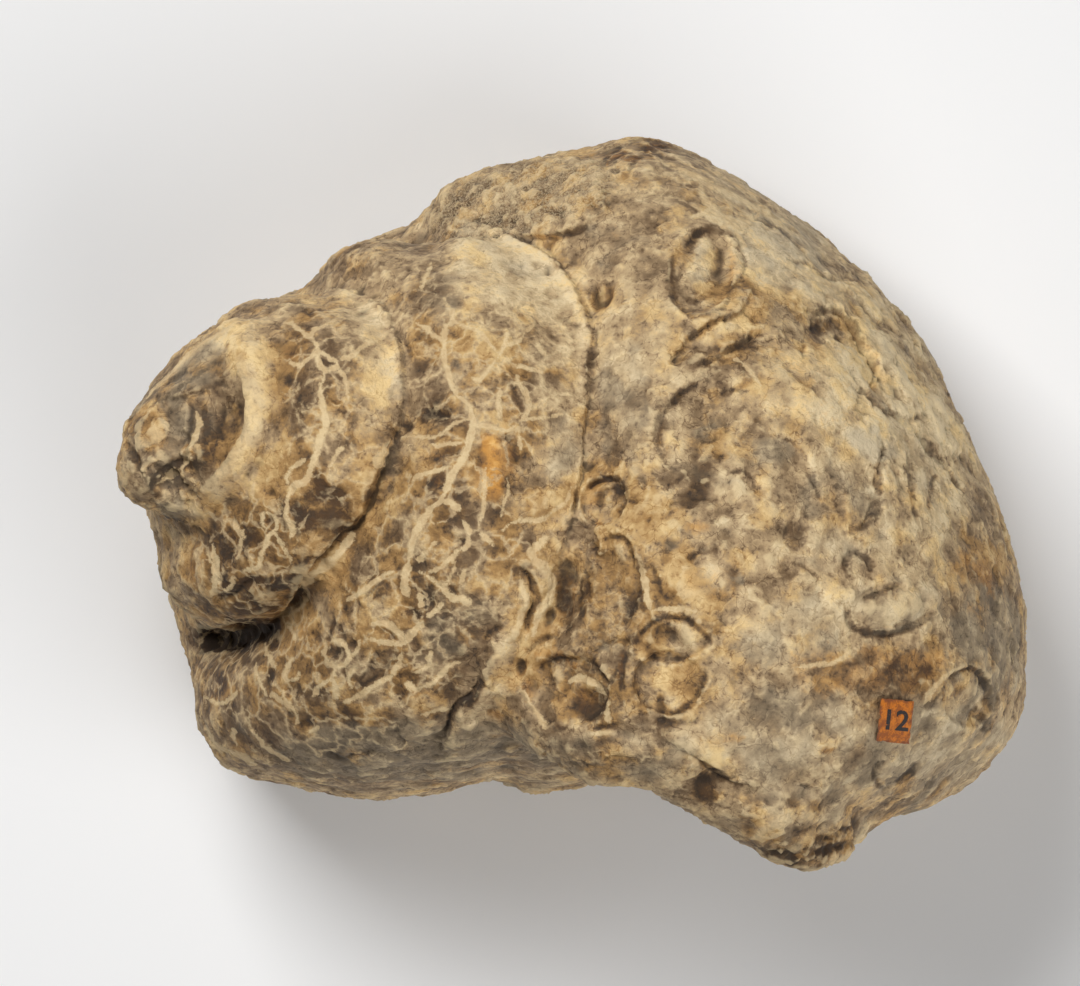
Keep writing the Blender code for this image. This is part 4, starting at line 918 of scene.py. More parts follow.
# %% Pale dabs
PALE_DABS = [
    (0.8, 2.2, [(664, 152), (678, 158), (690, 164)]), (0.7, 3, [(628, 168), (640, 172), (652, 170)]),
    (0.75, 12, [(224, 336), (244, 338), (257, 350), (261, 370)]),
    (0.5, 10, [(261, 370), (260, 398), (254, 430), (244, 454)]),
    (0.55, 12, [(240, 464), (228, 479), (212, 493)]),
    (0.9, 2.4, [(222, 334), (200, 349), (180, 366), (165, 383), (150, 393)]),
    (0.5, 3.5, [(186, 403), (186, 430)]), (0.8, 7, [(185, 450), (193, 452)]),
    (0.5, 4, [(150, 486), (157, 470), (166, 460), (180, 452)]), (0.3, 10, [(145, 408), (156, 414)]),
    (0.5, 4, [(202, 398), (213, 400)]), (0.7, 15, [(346, 300), (362, 316), (374, 336)]),
    (0.8, 15, [(379, 352), (383, 380), (383, 410)]), (0.4, 12, [(362, 430), (368, 452)]),
    (0.5, 14, [(350, 466), (362, 484)]), (0.8, 4.5, [(289, 490), (299, 492)]),
    (0.7, 4, [(286, 515), (290, 523)]), (0.4, 10, [(248, 492), (256, 474)]),
    (0.85, 6, [(505, 240), (530, 248), (548, 262), (562, 280), (574, 300), (581, 320), (583, 345),
               (581, 370), (579, 398)]),
    (0.4, 22, [(468, 262), (500, 262), (532, 284)]), (0.4, 7, [(566, 318), (566, 352)]),
    (0.4, 6, [(540, 384), (544, 397)]), (0.5, 3, [(482, 510), (483, 470)]),
    (0.5, 8, [(489, 440), (496, 490)]), (0.5, 16, [(852, 436), (890, 448)]),
    (0.35, 4, [(597, 326), (598, 370), (598, 400)]), (0.6, 5, [(630, 284), (633, 300), (630, 316)]),
    (0.4, 5, [(604, 246), (620, 252)]), (0.6, 5, [(629, 148), (641, 151)]),
    (0.85, 11, [(706, 246), (701, 262), (694, 284)]), (0.7, 3, [(742, 242), (748, 256)]),
    (0.4, 6, [(729, 248), (734, 262), (732, 280)]), (0.4, 4, [(698, 308), (712, 308)]),
    (0.9, 7, [(750, 328), (735, 326), (716, 333), (702, 341)]),
    (0.6, 14, [(742, 304), (758, 296), (772, 290)]), (0.7, 2.6, [(744, 358), (752, 374), (760, 390)]),
    (0.8, 2, [(790, 262), (810, 271), (830, 280), (850, 287), (872, 297)]),
    (0.8, 2.2, [(706, 216), (718, 219), (730, 226), (744, 226), (752, 217)]),
    (0.6, 26, [(790, 372), (820, 376), (848, 384)]), (0.6, 16, [(800, 408), (832, 420)]),
    (0.6, 7, [(808, 455), (812, 467)]), (0.7, 6, [(902, 408), (910, 412)]),
    (0.5, 8, [(872, 424), (890, 428)]), (0.4, 14, [(680, 414), (676, 446)]),
    (0.4, 8, [(706, 400), (712, 414)]), (0.9, 7, [(737, 483), (742, 497)]),
    (0.4, 6, [(745, 504), (738, 538)]), (1.5, 4.5, [(721, 520), (730, 522)]),
    (0.5, 8, [(667, 523), (674, 535)]), (0.7, 8, [(667, 568), (680, 585)]),
    (0.7, 9, [(705, 568), (722, 582)]), (0.6, 8, [(748, 562), (774, 568)]),
    (0.7, 3.5, [(742, 595), (748, 585)]), (0.4, 12, [(756, 500), (772, 508)]),
    (0.4, 12, [(838, 540), (852, 550)]), (0.6, 5, [(857, 570), (862, 582)]),
    (0.6, 8, [(866, 612), (885, 616), (905, 608)]), (0.9, 4, [(868, 624), (888, 625), (902, 620)]),
    (0.6, 4.5, [(922, 476), (923, 504)]), (0.7, 1.8, [(930, 420), (938, 444), (950, 470)]),
    (0.4, 12, [(928, 592), (946, 574)]), (0.4, 10, [(912, 444), (910, 460)]),
    (0.6, 7, [(524, 586), (528, 608)]), (0.8, 5.5, [(546, 572), (550, 590), (548, 606), (542, 622)]),
    (0.6, 5, [(607, 596), (608, 622)]), (0.6, 4, [(648, 594), (654, 613)]),
    (0.8, 4, [(677, 625), (690, 634), (694, 647)]), (0.7, 3, [(645, 639), (656, 646), (669, 650)]),
    (0.6, 4.5, [(641, 651), (645, 659)]), (0.5, 7, [(660, 662), (666, 690)]),
    (0.8, 5, [(669, 699), (677, 706)]), (0.8, 4, [(555, 669), (558, 685)]),
    (0.7, 4, [(573, 680), (590, 686), (604, 697)]), (0.5, 4, [(538, 650), (560, 650), (582, 660)]),
    (0.8, 3, [(560, 722), (566, 724)]), (0.7, 3, [(572, 721), (578, 723)]),
    (0.9, 3, [(593, 735), (604, 733), (615, 734)]), (0.7, 4, [(599, 652), (607, 656)]),
    (0.5, 5, [(520, 620), (508, 640), (498, 664)]), (0.8, 9, [(480, 702), (502, 690)]),
    (0.7, 4, [(460, 715), (480, 723)]), (0.8, 3.5, [(522, 696), (534, 712), (549, 727)]),
    (0.5, 8, [(384, 607), (397, 596)]), (0.8, 5.5, [(300, 592), (318, 574), (338, 558)]),
    (0.7, 4, [(278, 618), (290, 610), (302, 604)]), (0.7, 6, [(460, 600), (472, 604)]),
    (0.6, 8, [(334, 675), (341, 692)]), (0.6, 5, [(391, 673), (401, 661)]),
    (0.5, 6, [(424, 659), (433, 667)]), (0.7, 3, [(796, 672), (820, 664), (840, 660), (852, 652)]),
    (0.8, 4, [(779, 676), (792, 677)]), (1.1, 7, [(704, 756), (718, 759), (730, 756)]),
    (0.8, 4, [(689, 761), (699, 773)]), (0.7, 4, [(852, 789), (858, 795)]),
    (0.7, 5, [(799, 838), (817, 834)]), (0.7, 2.4, [(924, 704), (930, 690), (940, 680), (952, 672)]),
    (0.7, 4, [(980, 693), (975, 705)]), (0.3, 8, [(935, 750), (951, 744)]),
]

print(len(PALE_DABS), "pale dabs")

# %% [markdown]
# Iron in the lime turned to rust where water got in, and fresh breaks are grey. Both are stains more than
# shades, so they get lists of their own and change the hue, while light and dark stay as they were.

# %% Rusty and grey dabs
RUSTY_DABS = [
    (1.0, 3.5, [(607, 164), (614, 156), (624, 150)]), (0.9, 4, [(612, 158), (628, 159), (641, 160)]),
    (0.8, 4, [(646, 150), (656, 143), (676, 144)]), (2.6, 10, [(487, 438), (491, 465), (496, 496)]),
    (0.8, 7, [(504, 450), (513, 472)]), (0.7, 9, [(566, 578), (566, 614)]),
    (0.9, 6, [(187, 448), (193, 454)]), (0.5, 6, [(729, 248), (734, 264), (731, 280)]),
    (0.9, 4, [(535, 655), (550, 652), (563, 654)]), (0.8, 9, [(579, 697), (588, 707)]),
    (0.7, 3, [(622, 647), (620, 685)]), (0.8, 5, [(565, 663), (573, 668)]),
    (0.5, 7, [(204, 416), (202, 434)]), (0.5, 6, [(285, 350), (293, 356)]),
    (0.6, 5, [(434, 459), (451, 452)]), (0.6, 5, [(433, 484), (445, 477)]),
    (0.8, 8, [(688, 531), (706, 524)]), (0.5, 8, [(683, 590), (706, 590)]),
    (0.7, 7, [(858, 650), (882, 652)]), (0.7, 12, [(832, 672), (860, 680), (882, 676)]),
    (0.7, 10, [(896, 660), (930, 662), (951, 652)]), (0.8, 8, [(904, 691), (918, 679)]),
    (0.8, 6, [(960, 555), (967, 563)]), (1.0, 8, [(976, 567), (993, 579)]),
    (0.7, 4, [(990, 587), (992, 601)]), (0.5, 8, [(967, 606), (983, 612)]),
    (0.7, 8, [(722, 736), (741, 738)]), (0.8, 5, [(823, 750), (832, 752)]),
    (0.8, 5, [(490, 712), (498, 716)]), (0.7, 5, [(219, 674), (222, 692)]),
    (0.6, 6, [(294, 628), (305, 632)]), (0.5, 6, [(611, 227), (621, 235)]),
    (0.6, 8, [(194, 564), (200, 582)]), (0.6, 7, [(593, 486), (590, 508)]),
    (0.7, 4, [(595, 520), (601, 527)]), (0.6, 8, [(530, 684), (526, 702)]),
]
GREY_DABS = [
    (0.8, 15, [(182, 382), (200, 368), (222, 354)]), (0.9, 10, [(161, 510), (185, 512)]),
    (0.6, 10, [(310, 520), (342, 516)]), (0.5, 13, [(384, 358), (388, 402)]),
    (0.7, 8, [(458, 338), (456, 370)]), (0.6, 7, [(419, 333), (431, 347)]),
    (0.4, 12, [(556, 438), (556, 492)]), (0.9, 15, [(854, 436), (890, 448)]),
    (0.6, 14, [(698, 442), (718, 428)]), (0.6, 16, [(758, 452), (787, 452)]),
    (0.7, 9, [(658, 545), (692, 552)]), (1.0, 4, [(736, 579), (743, 581)]),
    (0.6, 18, [(738, 640), (772, 650)]), (0.5, 14, [(798, 640), (822, 640)]),
    (0.7, 11, [(705, 250), (696, 284)]), (0.8, 4, [(878, 633), (912, 628)]),
    (0.6, 8, [(440, 636), (458, 650)]), (0.7, 10, [(382, 728), (399, 730)]),
    (0.8, 7, [(706, 756), (730, 756)]), (0.6, 4, [(592, 650), (620, 642)]),
]

print(len(RUSTY_DABS), "rusty dabs,", len(GREY_DABS), "grey ones")

# %% [markdown]
# ## Measuring from a mark
#
# Every mark becomes a number at each corner of the skin. For a line that is how far the corner lies outside
# it. Lines are first drawn through their points as smooth curves, because stone has no straight corners. Only
# corners in the box round a line are measured, which keeps this quick.

# %% Curves and gaps
# A line has this share of its width at its ends, and gets wider at this rate along its length.
CURVE_STEPS = 4
FAR = 60.0
END_SHARE = 0.4
END_RISE = 4


def curve_through(points):
    """The points with smooth bends between them."""
    p = np.array([points[0], *points, points[-1]], float)
    share = np.linspace(0, 1, CURVE_STEPS, endpoint=False)[:, None]
    runs = []
    for a, b, c, d in zip(p, p[1:], p[2:], p[3:]):
        bend = 2 * b + (c - a) * share + (2 * a - 5 * b + 4 * c - d) * share**2
        runs.append((bend + (3 * b - a - 3 * c + d) * share**3) / 2)
    return np.vstack([*runs, p[-1:]])


def line_gap(seen, points, limit, half=0.0):
    """How far each place is outside a line, and on which side: 1 to the right of its run, -1 to the left.

    The line is two half widths broad in the middle and thins out at its ends.
    """
    line = curve_through(points)
    gap = np.full(len(seen), limit)
    side = np.ones(len(seen))
    near = np.all((seen > line.min(axis=0) - limit) & (seen < line.max(axis=0) + limit), axis=1)
    here = seen[near]
    least = gap[near]
    hand = side[near]
    for number, (start, end) in enumerate(zip(line, line[1:])):
        run = end - start
        to_end = min(number, len(line) - 2 - number) / len(line)
        share = np.clip(((here - start) @ run) / (run @ run + 1e-9), 0, 1)
        away = here - start - share[:, None] * run
        reach = np.linalg.norm(away, axis=1) - half * min(1.0, END_SHARE + END_RISE * to_end)
        closer = reach < least
        least[closer] = reach[closer]
        hand[closer] = np.sign(run[0] * away[closer, 1] - run[1] * away[closer, 0])
    gap[near] = least
    side[near] = hand
    return gap, side


def edge_of_lines(seen, lines, limit=FAR, widen=0.0):
    """How far each place is outside the nearest of the lines, and less than nothing inside it."""
    edge = np.full(len(seen), limit)
    for half, *_, points in lines:
        edge = np.minimum(edge, line_gap(seen, points, limit, half)[0] - widen * half)
    return edge


print("a line through 2 points is drawn as", len(curve_through([(0, 0), (9, 0)])), "points")

# %% [markdown]
# For an oval the number is 0 in its middle and 1 on its edge. A soft step turns it into a strength, and noise
# added to it first makes the edge waver, so that no wash or dab shows as the plain oval or line that it is.

# %% Ovals, zones and dabs
# A dab's edge is soft over this share of its half width, and noise moves it by the same share.
DAB_WAVER = 0.45
CRISPEST = 1.4
SOFTEST = 5.0
DAB_REACH = 10.0
ZONE_WAVER = 0.3


def oval_share(seen, centre, half, turn):
    """0 at an oval's centre and 1 on its edge."""
    angle = math.radians(turn)
    away = seen - np.array(centre, float)
    along = away[:, 0] * math.cos(angle) + away[:, 1] * math.sin(angle)
    across = away[:, 1] * math.cos(angle) - away[:, 0] * math.sin(angle)
    return np.hypot(along / half[0], across / half[1])


def smooth_step(low, high, value):
    """0 below low and 1 above high, with a soft rise. A low above high falls instead."""
    share = np.clip((value - low) / (high - low), 0, 1)
    return share * share * (3 - 2 * share)


def bump(value, middle, half):
    """A round hump of height one over the middle value."""
    return np.exp(-(((value - middle) / half) ** 2))


def zone(seen, ovals, wave):
    """How strongly a set of ovals colours each place."""
    strength = np.zeros(len(seen))
    for centre, half, turn, amount in ovals:
        share = oval_share(seen, centre, half, turn) + ZONE_WAVER * wave
        strength = np.maximum(strength, amount * smooth_step(1.2, 0.75, share))
    return strength


def dabbed(seen, dabs, wave=0.0):
    """How strongly a set of dabs colours each place. Broad dabs have soft and uneven edges."""
    strength = np.zeros(len(seen))
    for amount, half, points in dabs:
        soft = min(max(DAB_WAVER * half, CRISPEST), SOFTEST)
        gap, _ = line_gap(seen, points, half + DAB_REACH, half)
        strength = np.maximum(strength, amount * smooth_step(soft, -soft, gap + DAB_WAVER * half * wave))
    return strength


print("half way up a soft step:", smooth_step(0.0, 1.0, 0.5))

# %% [markdown]
# Faces near a line or on the edge of a scar are split again, so that the edges of cracks and rings are crisp.
# Splitting the whole stone would do as well, but it would make four times the triangles for bare stone.

# %% Finer squares beside the marks
LOOK_WITHIN = 12.0
FINE_WITHIN = 3.2
VEIN_FINE_SHARE = 0.6
FINE_FACING = 0.08
NARROW_DAB = 3.1
STRONG_DAB = 0.75
DAB_SHOWS = 0.1


def near_a_mark(seen):
    """True for places beside a traced line or on the edge of a scar."""
    beside = edge_of_lines(seen, CRACKS, LOOK_WITHIN) < FINE_WITHIN
    beside |= edge_of_lines(seen, VEINS, LOOK_WITHIN) < VEIN_FINE_SHARE * FINE_WITHIN
    narrow = [dab for dab in DARK_DABS if dab[1] < NARROW_DAB and dab[0] > STRONG_DAB]
    beside |= dabbed(seen, narrow) > DAB_SHOWS
    for centre, half, turn, *_ in SCARS:
        share = oval_share(seen, centre, half, turn)
        beside |= np.abs(share - 1) * min(half) < 2 * FINE_WITHIN
    return beside


middle = read_rows(stone.data.polygons, "center")
facing = read_rows(stone.data.polygons, "normal")
split_faces(stone, near_a_mark(seen_from_above(middle)) & (facing[:, 2] > FINE_FACING))
print("after the second split", len(stone.data.polygons))

# %% [markdown]
# ## Relief
#
# Someone who sculpts would push the stone in and out by hand. Here a height in millimetres is added up for
# each corner, and the corner moves that far along its normal. Noise does two jobs: it bends the traced marks
# a little, so that they look broken and not drawn, and it gives the bare stone its unevenness.

# %% Noise at the corners
BEND_PIXELS = 1.5
WOBBLE_SHARE = 0.7


def noise_at(places, size, layers=1, shift=0.0):
    """Noise from about -1 to 1, with lumps of this size in metres."""
    offset = Vector((shift, 2 * shift, -shift))
    if layers == 1:
        return np.array([noise.noise(Vector(p) / size + offset) for p in places])
    return np.array([noise.fractal(Vector(p) / size + offset, 0.9, 2.1, layers) for p in places])


places = corner_places(stone.data)
normals = corner_normals(stone.data)
from_above = smooth_step(0.0, 0.22, normals[:, 2])
turned_away = smooth_step(0.1, 0.0, normals[:, 2])
wobble = noise_at(places, 1.7 * MM)
wave = noise_at(places, 5.5 * MM, 2)
cross_wave = noise_at(places, 5.5 * MM, 2, shift=5.3)
broken_up = smooth_step(-0.45, 0.25, noise_at(places, 4.5 * MM, shift=2.2))
seen = seen_from_above(places)
seen += BEND_PIXELS * np.stack([wave + WOBBLE_SHARE * wobble, cross_wave - WOBBLE_SHARE * wobble], axis=1)
print("corners", len(places), "of which", int((from_above > 0.5).sum()), "are seen from above")

# %% [markdown]
# A ring is a low rim with a moat inside it and perhaps a plug in the middle, as on the real stone. Rings and
# cracks are shallower where the stone is broken up less, so they come and go along their length.

# %% Heights of the traced marks
CRACK_DEPTH_SHARE = 0.6
HOLLOW_DEPTH_SHARE = 0.65
DEEP_HOLLOW = 3
CRACK_LIMIT = 14.0
RING_WOBBLE = 0.04


def ring_height(share, rim, floor_depth, plug):
    """A low rim, a moat inside it and a plug in the middle. The share is 0 in the middle and 1 on the rim."""
    height = rim * bump(share, 1.04, 0.12)
    height -= floor_depth * smooth_step(1.0, 0.88, share)
    return height + plug * smooth_step(0.76, 0.6, share)


def mark_height(seen, wobble, broken_up):
    """The height that the traced marks give each place, in millimetres."""
    height = np.zeros(len(seen))
    for half, depth, points in CRACKS:
        gap, _ = line_gap(seen, points, CRACK_LIMIT)
        height -= CRACK_DEPTH_SHARE * depth * (0.3 + 0.7 * broken_up) * np.exp(-((gap / (1.2 * half)) ** 2))
    for drop, reach, points in LEDGES:
        gap, side = line_gap(seen, points, 3.0 * reach)
        lower = smooth_step(-1.6, 1.6, -side * gap)
        height += drop * (0.5 - lower) * np.exp(-((gap / reach) ** 2))
    for centre, half, turn, rim, floor_depth, plug in SCARS:
        share = oval_share(seen, centre, half, turn) + RING_WOBBLE * wobble
        height += (0.5 + 0.5 * broken_up) * ring_height(share, rim, floor_depth, plug)
    for centre, half, turn, depth in HOLLOWS:
        share = oval_share(seen, centre, half, turn) + 0.15 * wobble
        height -= depth * (HOLLOW_DEPTH_SHARE if depth < DEEP_HOLLOW else 1.0) * smooth_step(1.2, 0.4, share)
    for centre, half, turn, rise in SWELLS:
        share = oval_share(seen, centre, half, turn) + 0.12 * wobble
        height += rise * smooth_step(1.2, 0.3, share)
    return height


traced_height = mark_height(seen, wobble, broken_up)
print("traced marks reach", round(traced_height.min(), 2), "to", round(traced_height.max(), 2), "mm")

# %% [markdown]
# The photograph shows one side only. The back and the flanks of such a stone carry the same scars and pits,
# so a few are strewn there by chance, always in the same places since the chance starts from one number.

# %% Scars and pits on the hidden sides
HIDDEN_SCARS = 16
SCAR_RADII = (4.0, 8.5)
SCAR_RIM = 0.6
SCAR_FLOOR = 0.8
SCAR_PLUGS = (0.2, 1.0)
HIDDEN_PITS = 60
PIT_RADII = (1.0, 2.8)
PIT_DEPTH_SHARE = 0.45
CLEAR_OF_FLOOR = 4 * MM
chance = np.random.default_rng(12)


def strewn(allowed, count, radii):
    """Some of the allowed places, each with a radius in millimetres."""
    chosen = chance.choice(np.flatnonzero(allowed), count, replace=False)
    return [(places[c], radius) for c, radius in zip(chosen, chance.uniform(*radii, count))]


def hidden_height(wobble):
    """The height that the strewn marks give each place, in millimetres."""
    hidden = (normals[:, 2] < 0.0) & (places[:, 2] > CLEAR_OF_FLOOR)
    height = np.zeros(len(places))
    for centre, radius in strewn(hidden, HIDDEN_SCARS, SCAR_RADII):
        share = np.linalg.norm(places - centre, axis=1) / (radius * MM) + 0.2 * wobble
        height += ring_height(share, SCAR_RIM, SCAR_FLOOR, chance.uniform(*SCAR_PLUGS))
    for centre, radius in strewn(hidden, HIDDEN_PITS, PIT_RADII):
        share = np.linalg.norm(places - centre, axis=1) / (radius * MM) + 0.25 * wobble
        height -= PIT_DEPTH_SHARE * radius * smooth_step(1.2, 0.4, share)
    return height * (1 - from_above)


strewn_height = hidden_height(wobble)
print("hidden marks reach", round(strewn_height.min(), 2), "to", round(strewn_height.max(), 2), "mm")

# %% [markdown]
# Broken stone is rough at all sizes, so three sizes of noise are added up. Flakes are noise with a steep step
# in it, which leaves flat patches with sharp edges, and creases run where another noise passes through zero.

# %% Noise, flakes and creases
# Heights in millimetres.
BROAD_RISE = 0.36
MEDIUM_RISE = 0.28
FINE_RISE = 0.20
CREASE_DEPTH = 0.25
LARGE_FLAKE_RISE = 0.42
SMALL_FLAKE_RISE = 0.30

broad = noise_at(places, 15 * MM, 2)
medium = noise_at(places, 5 * MM, 2, shift=3.1)
fine = noise_at(places, 1.9 * MM, 2, shift=7.7)
large_flakes = smooth_step(-0.04, 0.05, noise_at(places, 12 * MM, 4, shift=8.3))
small_flakes = smooth_step(-0.05, 0.06, noise_at(places, 6 * MM, 3, shift=6.1))
creases = smooth_step(0.14, 0.0, np.abs(noise_at(places, 9 * MM, shift=9.4) + 0.25 * medium))
rough = BROAD_RISE * broad + MEDIUM_RISE * medium + FINE_RISE * fine - CREASE_DEPTH * creases
rough += LARGE_FLAKE_RISE * (large_flakes - 0.5) + SMALL_FLAKE_RISE * (small_flakes - 0.5)
print("bare stone is rough by", round(rough.std(), 2), "mm")

# %% [markdown]
# The roughness isn't the same all over. The crust along the top and the broken back are rougher, and the worn
# and netted faces of the whorls are calmer. Pale dabs stand up a little, and dark ones lie a little deeper.

# %% Rough and calm places
LUMPIER = 0.8
CALMER = 0.6
PALE_RISE = 0.1
DARK_DROP = 0.12

on_crust = smooth_step(1.25, 0.85, oval_share(seen, *CRUST) + 0.1 * wave)
on_crust *= smooth_step(-0.3, 0.2, normals[:, 2])
broken = smooth_step(0.15, -0.5, normals[:, 2])
lumpy = np.maximum(zone(seen, LUMPY, wave), broken)
calm = from_above * np.minimum(zone(seen, NETTED, wave) + zone(seen, SMOOTH, wave), 1)
pale = dabbed(seen, PALE_DABS, wave)
dark = dabbed(seen, DARK_DABS, wave)
rough *= 1 + LUMPIER * lumpy - CALMER * calm
rough += from_above * (PALE_RISE * pale - DARK_DROP * dark)
rough += on_crust * (np.abs(medium) + 0.7 * fine - 0.3)
print("with crust and dirt it is rough by", round(rough.std(), 2), "mm")

# %% [markdown]
# Now all heights are added and the corners move. The stone under the label stays as the solid has it, so that
# nothing pokes through the paper. The skin is kept inside the solid's box, and what lay on the floor is flat.

# %% The stone's relief
LABEL_MARGIN = 1.5 * MM
FLOOR_WITHIN = 0.35 * MM
FLOOR_FACING = -0.8

label_low, label_high = (np.array(corner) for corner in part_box("number_label"))
inside_label = np.all((places > label_low - LABEL_MARGIN) & (places < label_high + LABEL_MARGIN), axis=1)
height = rough + strewn_height + from_above * traced_height
height *= np.where(inside_label, 0.0, 1.0)
places += normals * height[:, None] * MM

lowest, highest = (np.array(corner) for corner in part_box("fossil_snail"))
places = np.clip(places, lowest, highest)
on_floor = (places[:, 2] < FLOOR_WITHIN) & (normals[:, 2] < FLOOR_FACING)
places[on_floor, 2] = 0.0
move_corners(stone.data, places)
print("relief from", round(height.min(), 2), "to", round(height.max(), 2), "mm")

# %% [markdown]
# ## Where the colours lie
#
# The material needs to know where the marks and washes are. Each is kept as a number at the corners, and the
# material breaks its edge up with noise. Two more numbers say how deep a corner lies under the smoothed
# surface, near by and farther round: dirt and painted shade go in hollows, and edges wear pale.

# %% Numbers at the corners
HOLLOW_ROUNDS = 6
VALLEY_ROUNDS = 40


def keep_number(mesh, name, values):
    """Keeps a number at each corner, for the material to read."""
    layer = mesh.attributes.new(name, "FLOAT", "POINT")
    layer.data.foreach_set("value", np.asarray(values, np.float32))


def depth_under_average(mesh, rounds):
    """How far each corner lies under its neighbours' smoothed surface, in millimetres."""
    ends = np.empty(len(mesh.edges) * 2, np.int32)
    mesh.edges.foreach_get("vertices", ends)
    one, other = ends.reshape(-1, 2).T
    start = corner_places(mesh)
    shares = np.bincount(one, minlength=len(start)) + np.bincount(other, minlength=len(start))
    smoothed = start.copy()
    for _ in range(rounds):
        for axis in range(3):
            total = np.bincount(one, smoothed[other, axis], len(start))
            total += np.bincount(other, smoothed[one, axis], len(start))
            smoothed[:, axis] = total / shares
    return np.einsum("ij,ij->i", smoothed - start, corner_normals(mesh)) / MM


hollow = depth_under_average(stone.data, HOLLOW_ROUNDS)
valley = depth_under_average(stone.data, VALLEY_ROUNDS)
print("hollows lie", round(hollow.max(), 2), "and valleys", round(valley.max(), 2), "mm deep at most")

# %% [markdown]
# The tone is light minus dark, from washes, dabs and rings, painted shade among them. Each hue has its own
# number. The hidden sides get patches of noise in place of traced ones, so that they look as if they belong
# to the same stone.

# %% Tone, hue and lines for the material
PALE_SHARE = 0.95
DARK_SHARE = 0.9
LINE_WIDENING = 0.1
OUT_OF_SIGHT = 12


def either_side(above, behind):
    """What was seen on the upper side, and what noise gives the hidden ones."""
    return from_above * above + (1 - from_above) * behind


def line_edge(lines, faint):
    """How far each corner is outside the nearest line in millimetres, and far on the hidden sides."""
    edge = edge_of_lines(seen, lines, widen=LINE_WIDENING) / PIXELS_PER_MM
    return edge + faint * (1 - broken_up) + OUT_OF_SIGHT * turned_away


tone = zone(seen, LIGHTER, wave) - zone(seen, DARKER, wave) + PALE_SHARE * pale - DARK_SHARE * dark
# A ring's rim is painted paler and its moat darker: painted light on the raised rim, painted shade in the
# moat.
for centre, half, turn, *_ in SCARS:
    share = oval_share(seen, centre, half, turn) + RING_WOBBLE * wobble
    tone += (0.3 + 0.7 * broken_up) * (0.3 * bump(share, 1.05, 0.09) - 0.5 * bump(share, 0.9, 0.08))
patches = 0.4 * (large_flakes - 0.5) + 0.3 * (small_flakes - 0.5)
patches += 0.5 * noise_at(places, 6 * MM, 3, shift=2.9)
greyer = zone(seen, GREYER, wave)
golden = from_above * (zone(seen, GOLDEN, wave) - 0.5 * greyer)
grey = np.maximum(greyer, dabbed(seen, GREY_DABS, wave))
rusty = np.maximum(zone(seen, RUSTIER, wave), dabbed(seen, RUSTY_DABS, wave))
numbers = {
    "tone": from_above * tone + patches * (1 - 0.4 * calm),
    "grey": either_side(grey, 0.6 * smooth_step(0.1, 0.6, broad)),
    "rust": either_side(rusty, 0.7 * smooth_step(0.3, 0.8, -broad)),
    "net": either_side(zone(seen, NETTED, wave), 0.7 * smooth_step(-0.2, 0.4, cross_wave)),
    "crust": on_crust,
    "vein": line_edge(VEINS, 0.25),
    "crack": line_edge(CRACKS, 0.3),
    "hollow": hollow,
    "valley": valley,
    "cloud": broad,
    "hue": noise_at(places, 8 * MM, 3, shift=4.4) + 0.4 * (large_flakes - 0.5) + 0.8 * golden,
}
for name, values in numbers.items():
    keep_number(stone.data, name, values)
print(len(numbers), "numbers kept at each of", len(places), "corners")

# %% [markdown]
# ## Shader maths as plain sums
#
# A material is a web of nodes. A small class wraps one output, so that a sum in Python adds the Math nodes,
# and one method makes any other node. Colours are mixed by a mask, which must be a number from 0 to 1.

# %% A wire between nodes


class Wire:
    """One output of a node. Sums with it add Math nodes to its material."""

    def __init__(self, tree, socket=None):
        self.tree = tree
        self.socket = socket

    def node(self, kind, settings=None, values=None, output=0):
        """Adds a node. Its settings are set first, and then its sockets get values or wires."""
        made = self.tree.nodes.new(kind)
        for name, value in (settings or {}).items():
            if name == "stops":
                set_stops(made.color_ramp, value)
            else:
                setattr(made, name, value)
        for name, value in (values or {}).items():
            if isinstance(value, Wire):
                self.tree.links.new(value.socket, made.inputs[name])
            else:
                made.inputs[name].default_value = value
        return Wire(self.tree, made.outputs[output])

    def math(self, operation, first, second):
        return self.node("ShaderNodeMath", {"operation": operation}, {0: first, 1: second})

    def __add__(self, other):
        return self.math("ADD", self, other)

    __radd__ = __add__

    def __mul__(self, other):
        return self.math("MULTIPLY", self, other)

    __rmul__ = __mul__

    def __sub__(self, other):
        return self.math("SUBTRACT", self, other)

    def __rsub__(self, other):
        return self.math("SUBTRACT", other, self)

    def at_least(self, other):
        return self.math("MAXIMUM", self, other)

    def step(self, low, high):
        """0 below low and 1 above high, with a soft rise. A low above high falls instead."""
        return self.node(
            "ShaderNodeMapRange",
            {"interpolation_type": "SMOOTHSTEP"},
            {"Value": self, "From Min": low, "From Max": high},
        )

    def over(self, under, top):
        """The top colour over the one under it, where this mask is 1."""
        return self.node(
            "ShaderNodeMix", {"data_type": "RGBA", "clamp_factor": True}, {0: self, 6: under, 7: top}, 2
        )

    def number(self, name):
        """A number that the mesh keeps at its corners."""
        return self.node("ShaderNodeAttribute", {"attribute_name": name}, {}, "Fac")

    def into(self, socket):
        """Feeds this wire to a socket of the material's surface."""
        self.tree.links.new(self.socket, self.tree.nodes["Principled BSDF"].inputs[socket])


print("Wire is ready, for sums, steps, mixes and kept numbers")

# %% [markdown]
# A colour is named as the eye sees it, from 0 to 255, but a material reckons with amounts of light, so it is
# turned into those. A ramp goes through several colours, from the darkest shade to the palest.

# %% Colours and ramps


def set_stops(ramp, stops):
    """Gives a colour ramp its places and colours."""
    while len(ramp.elements) < len(stops):
        ramp.elements.new(0.5)
    for element, (place, colour) in zip(ramp.elements, stops):
        element.position = place
        element.color = colour


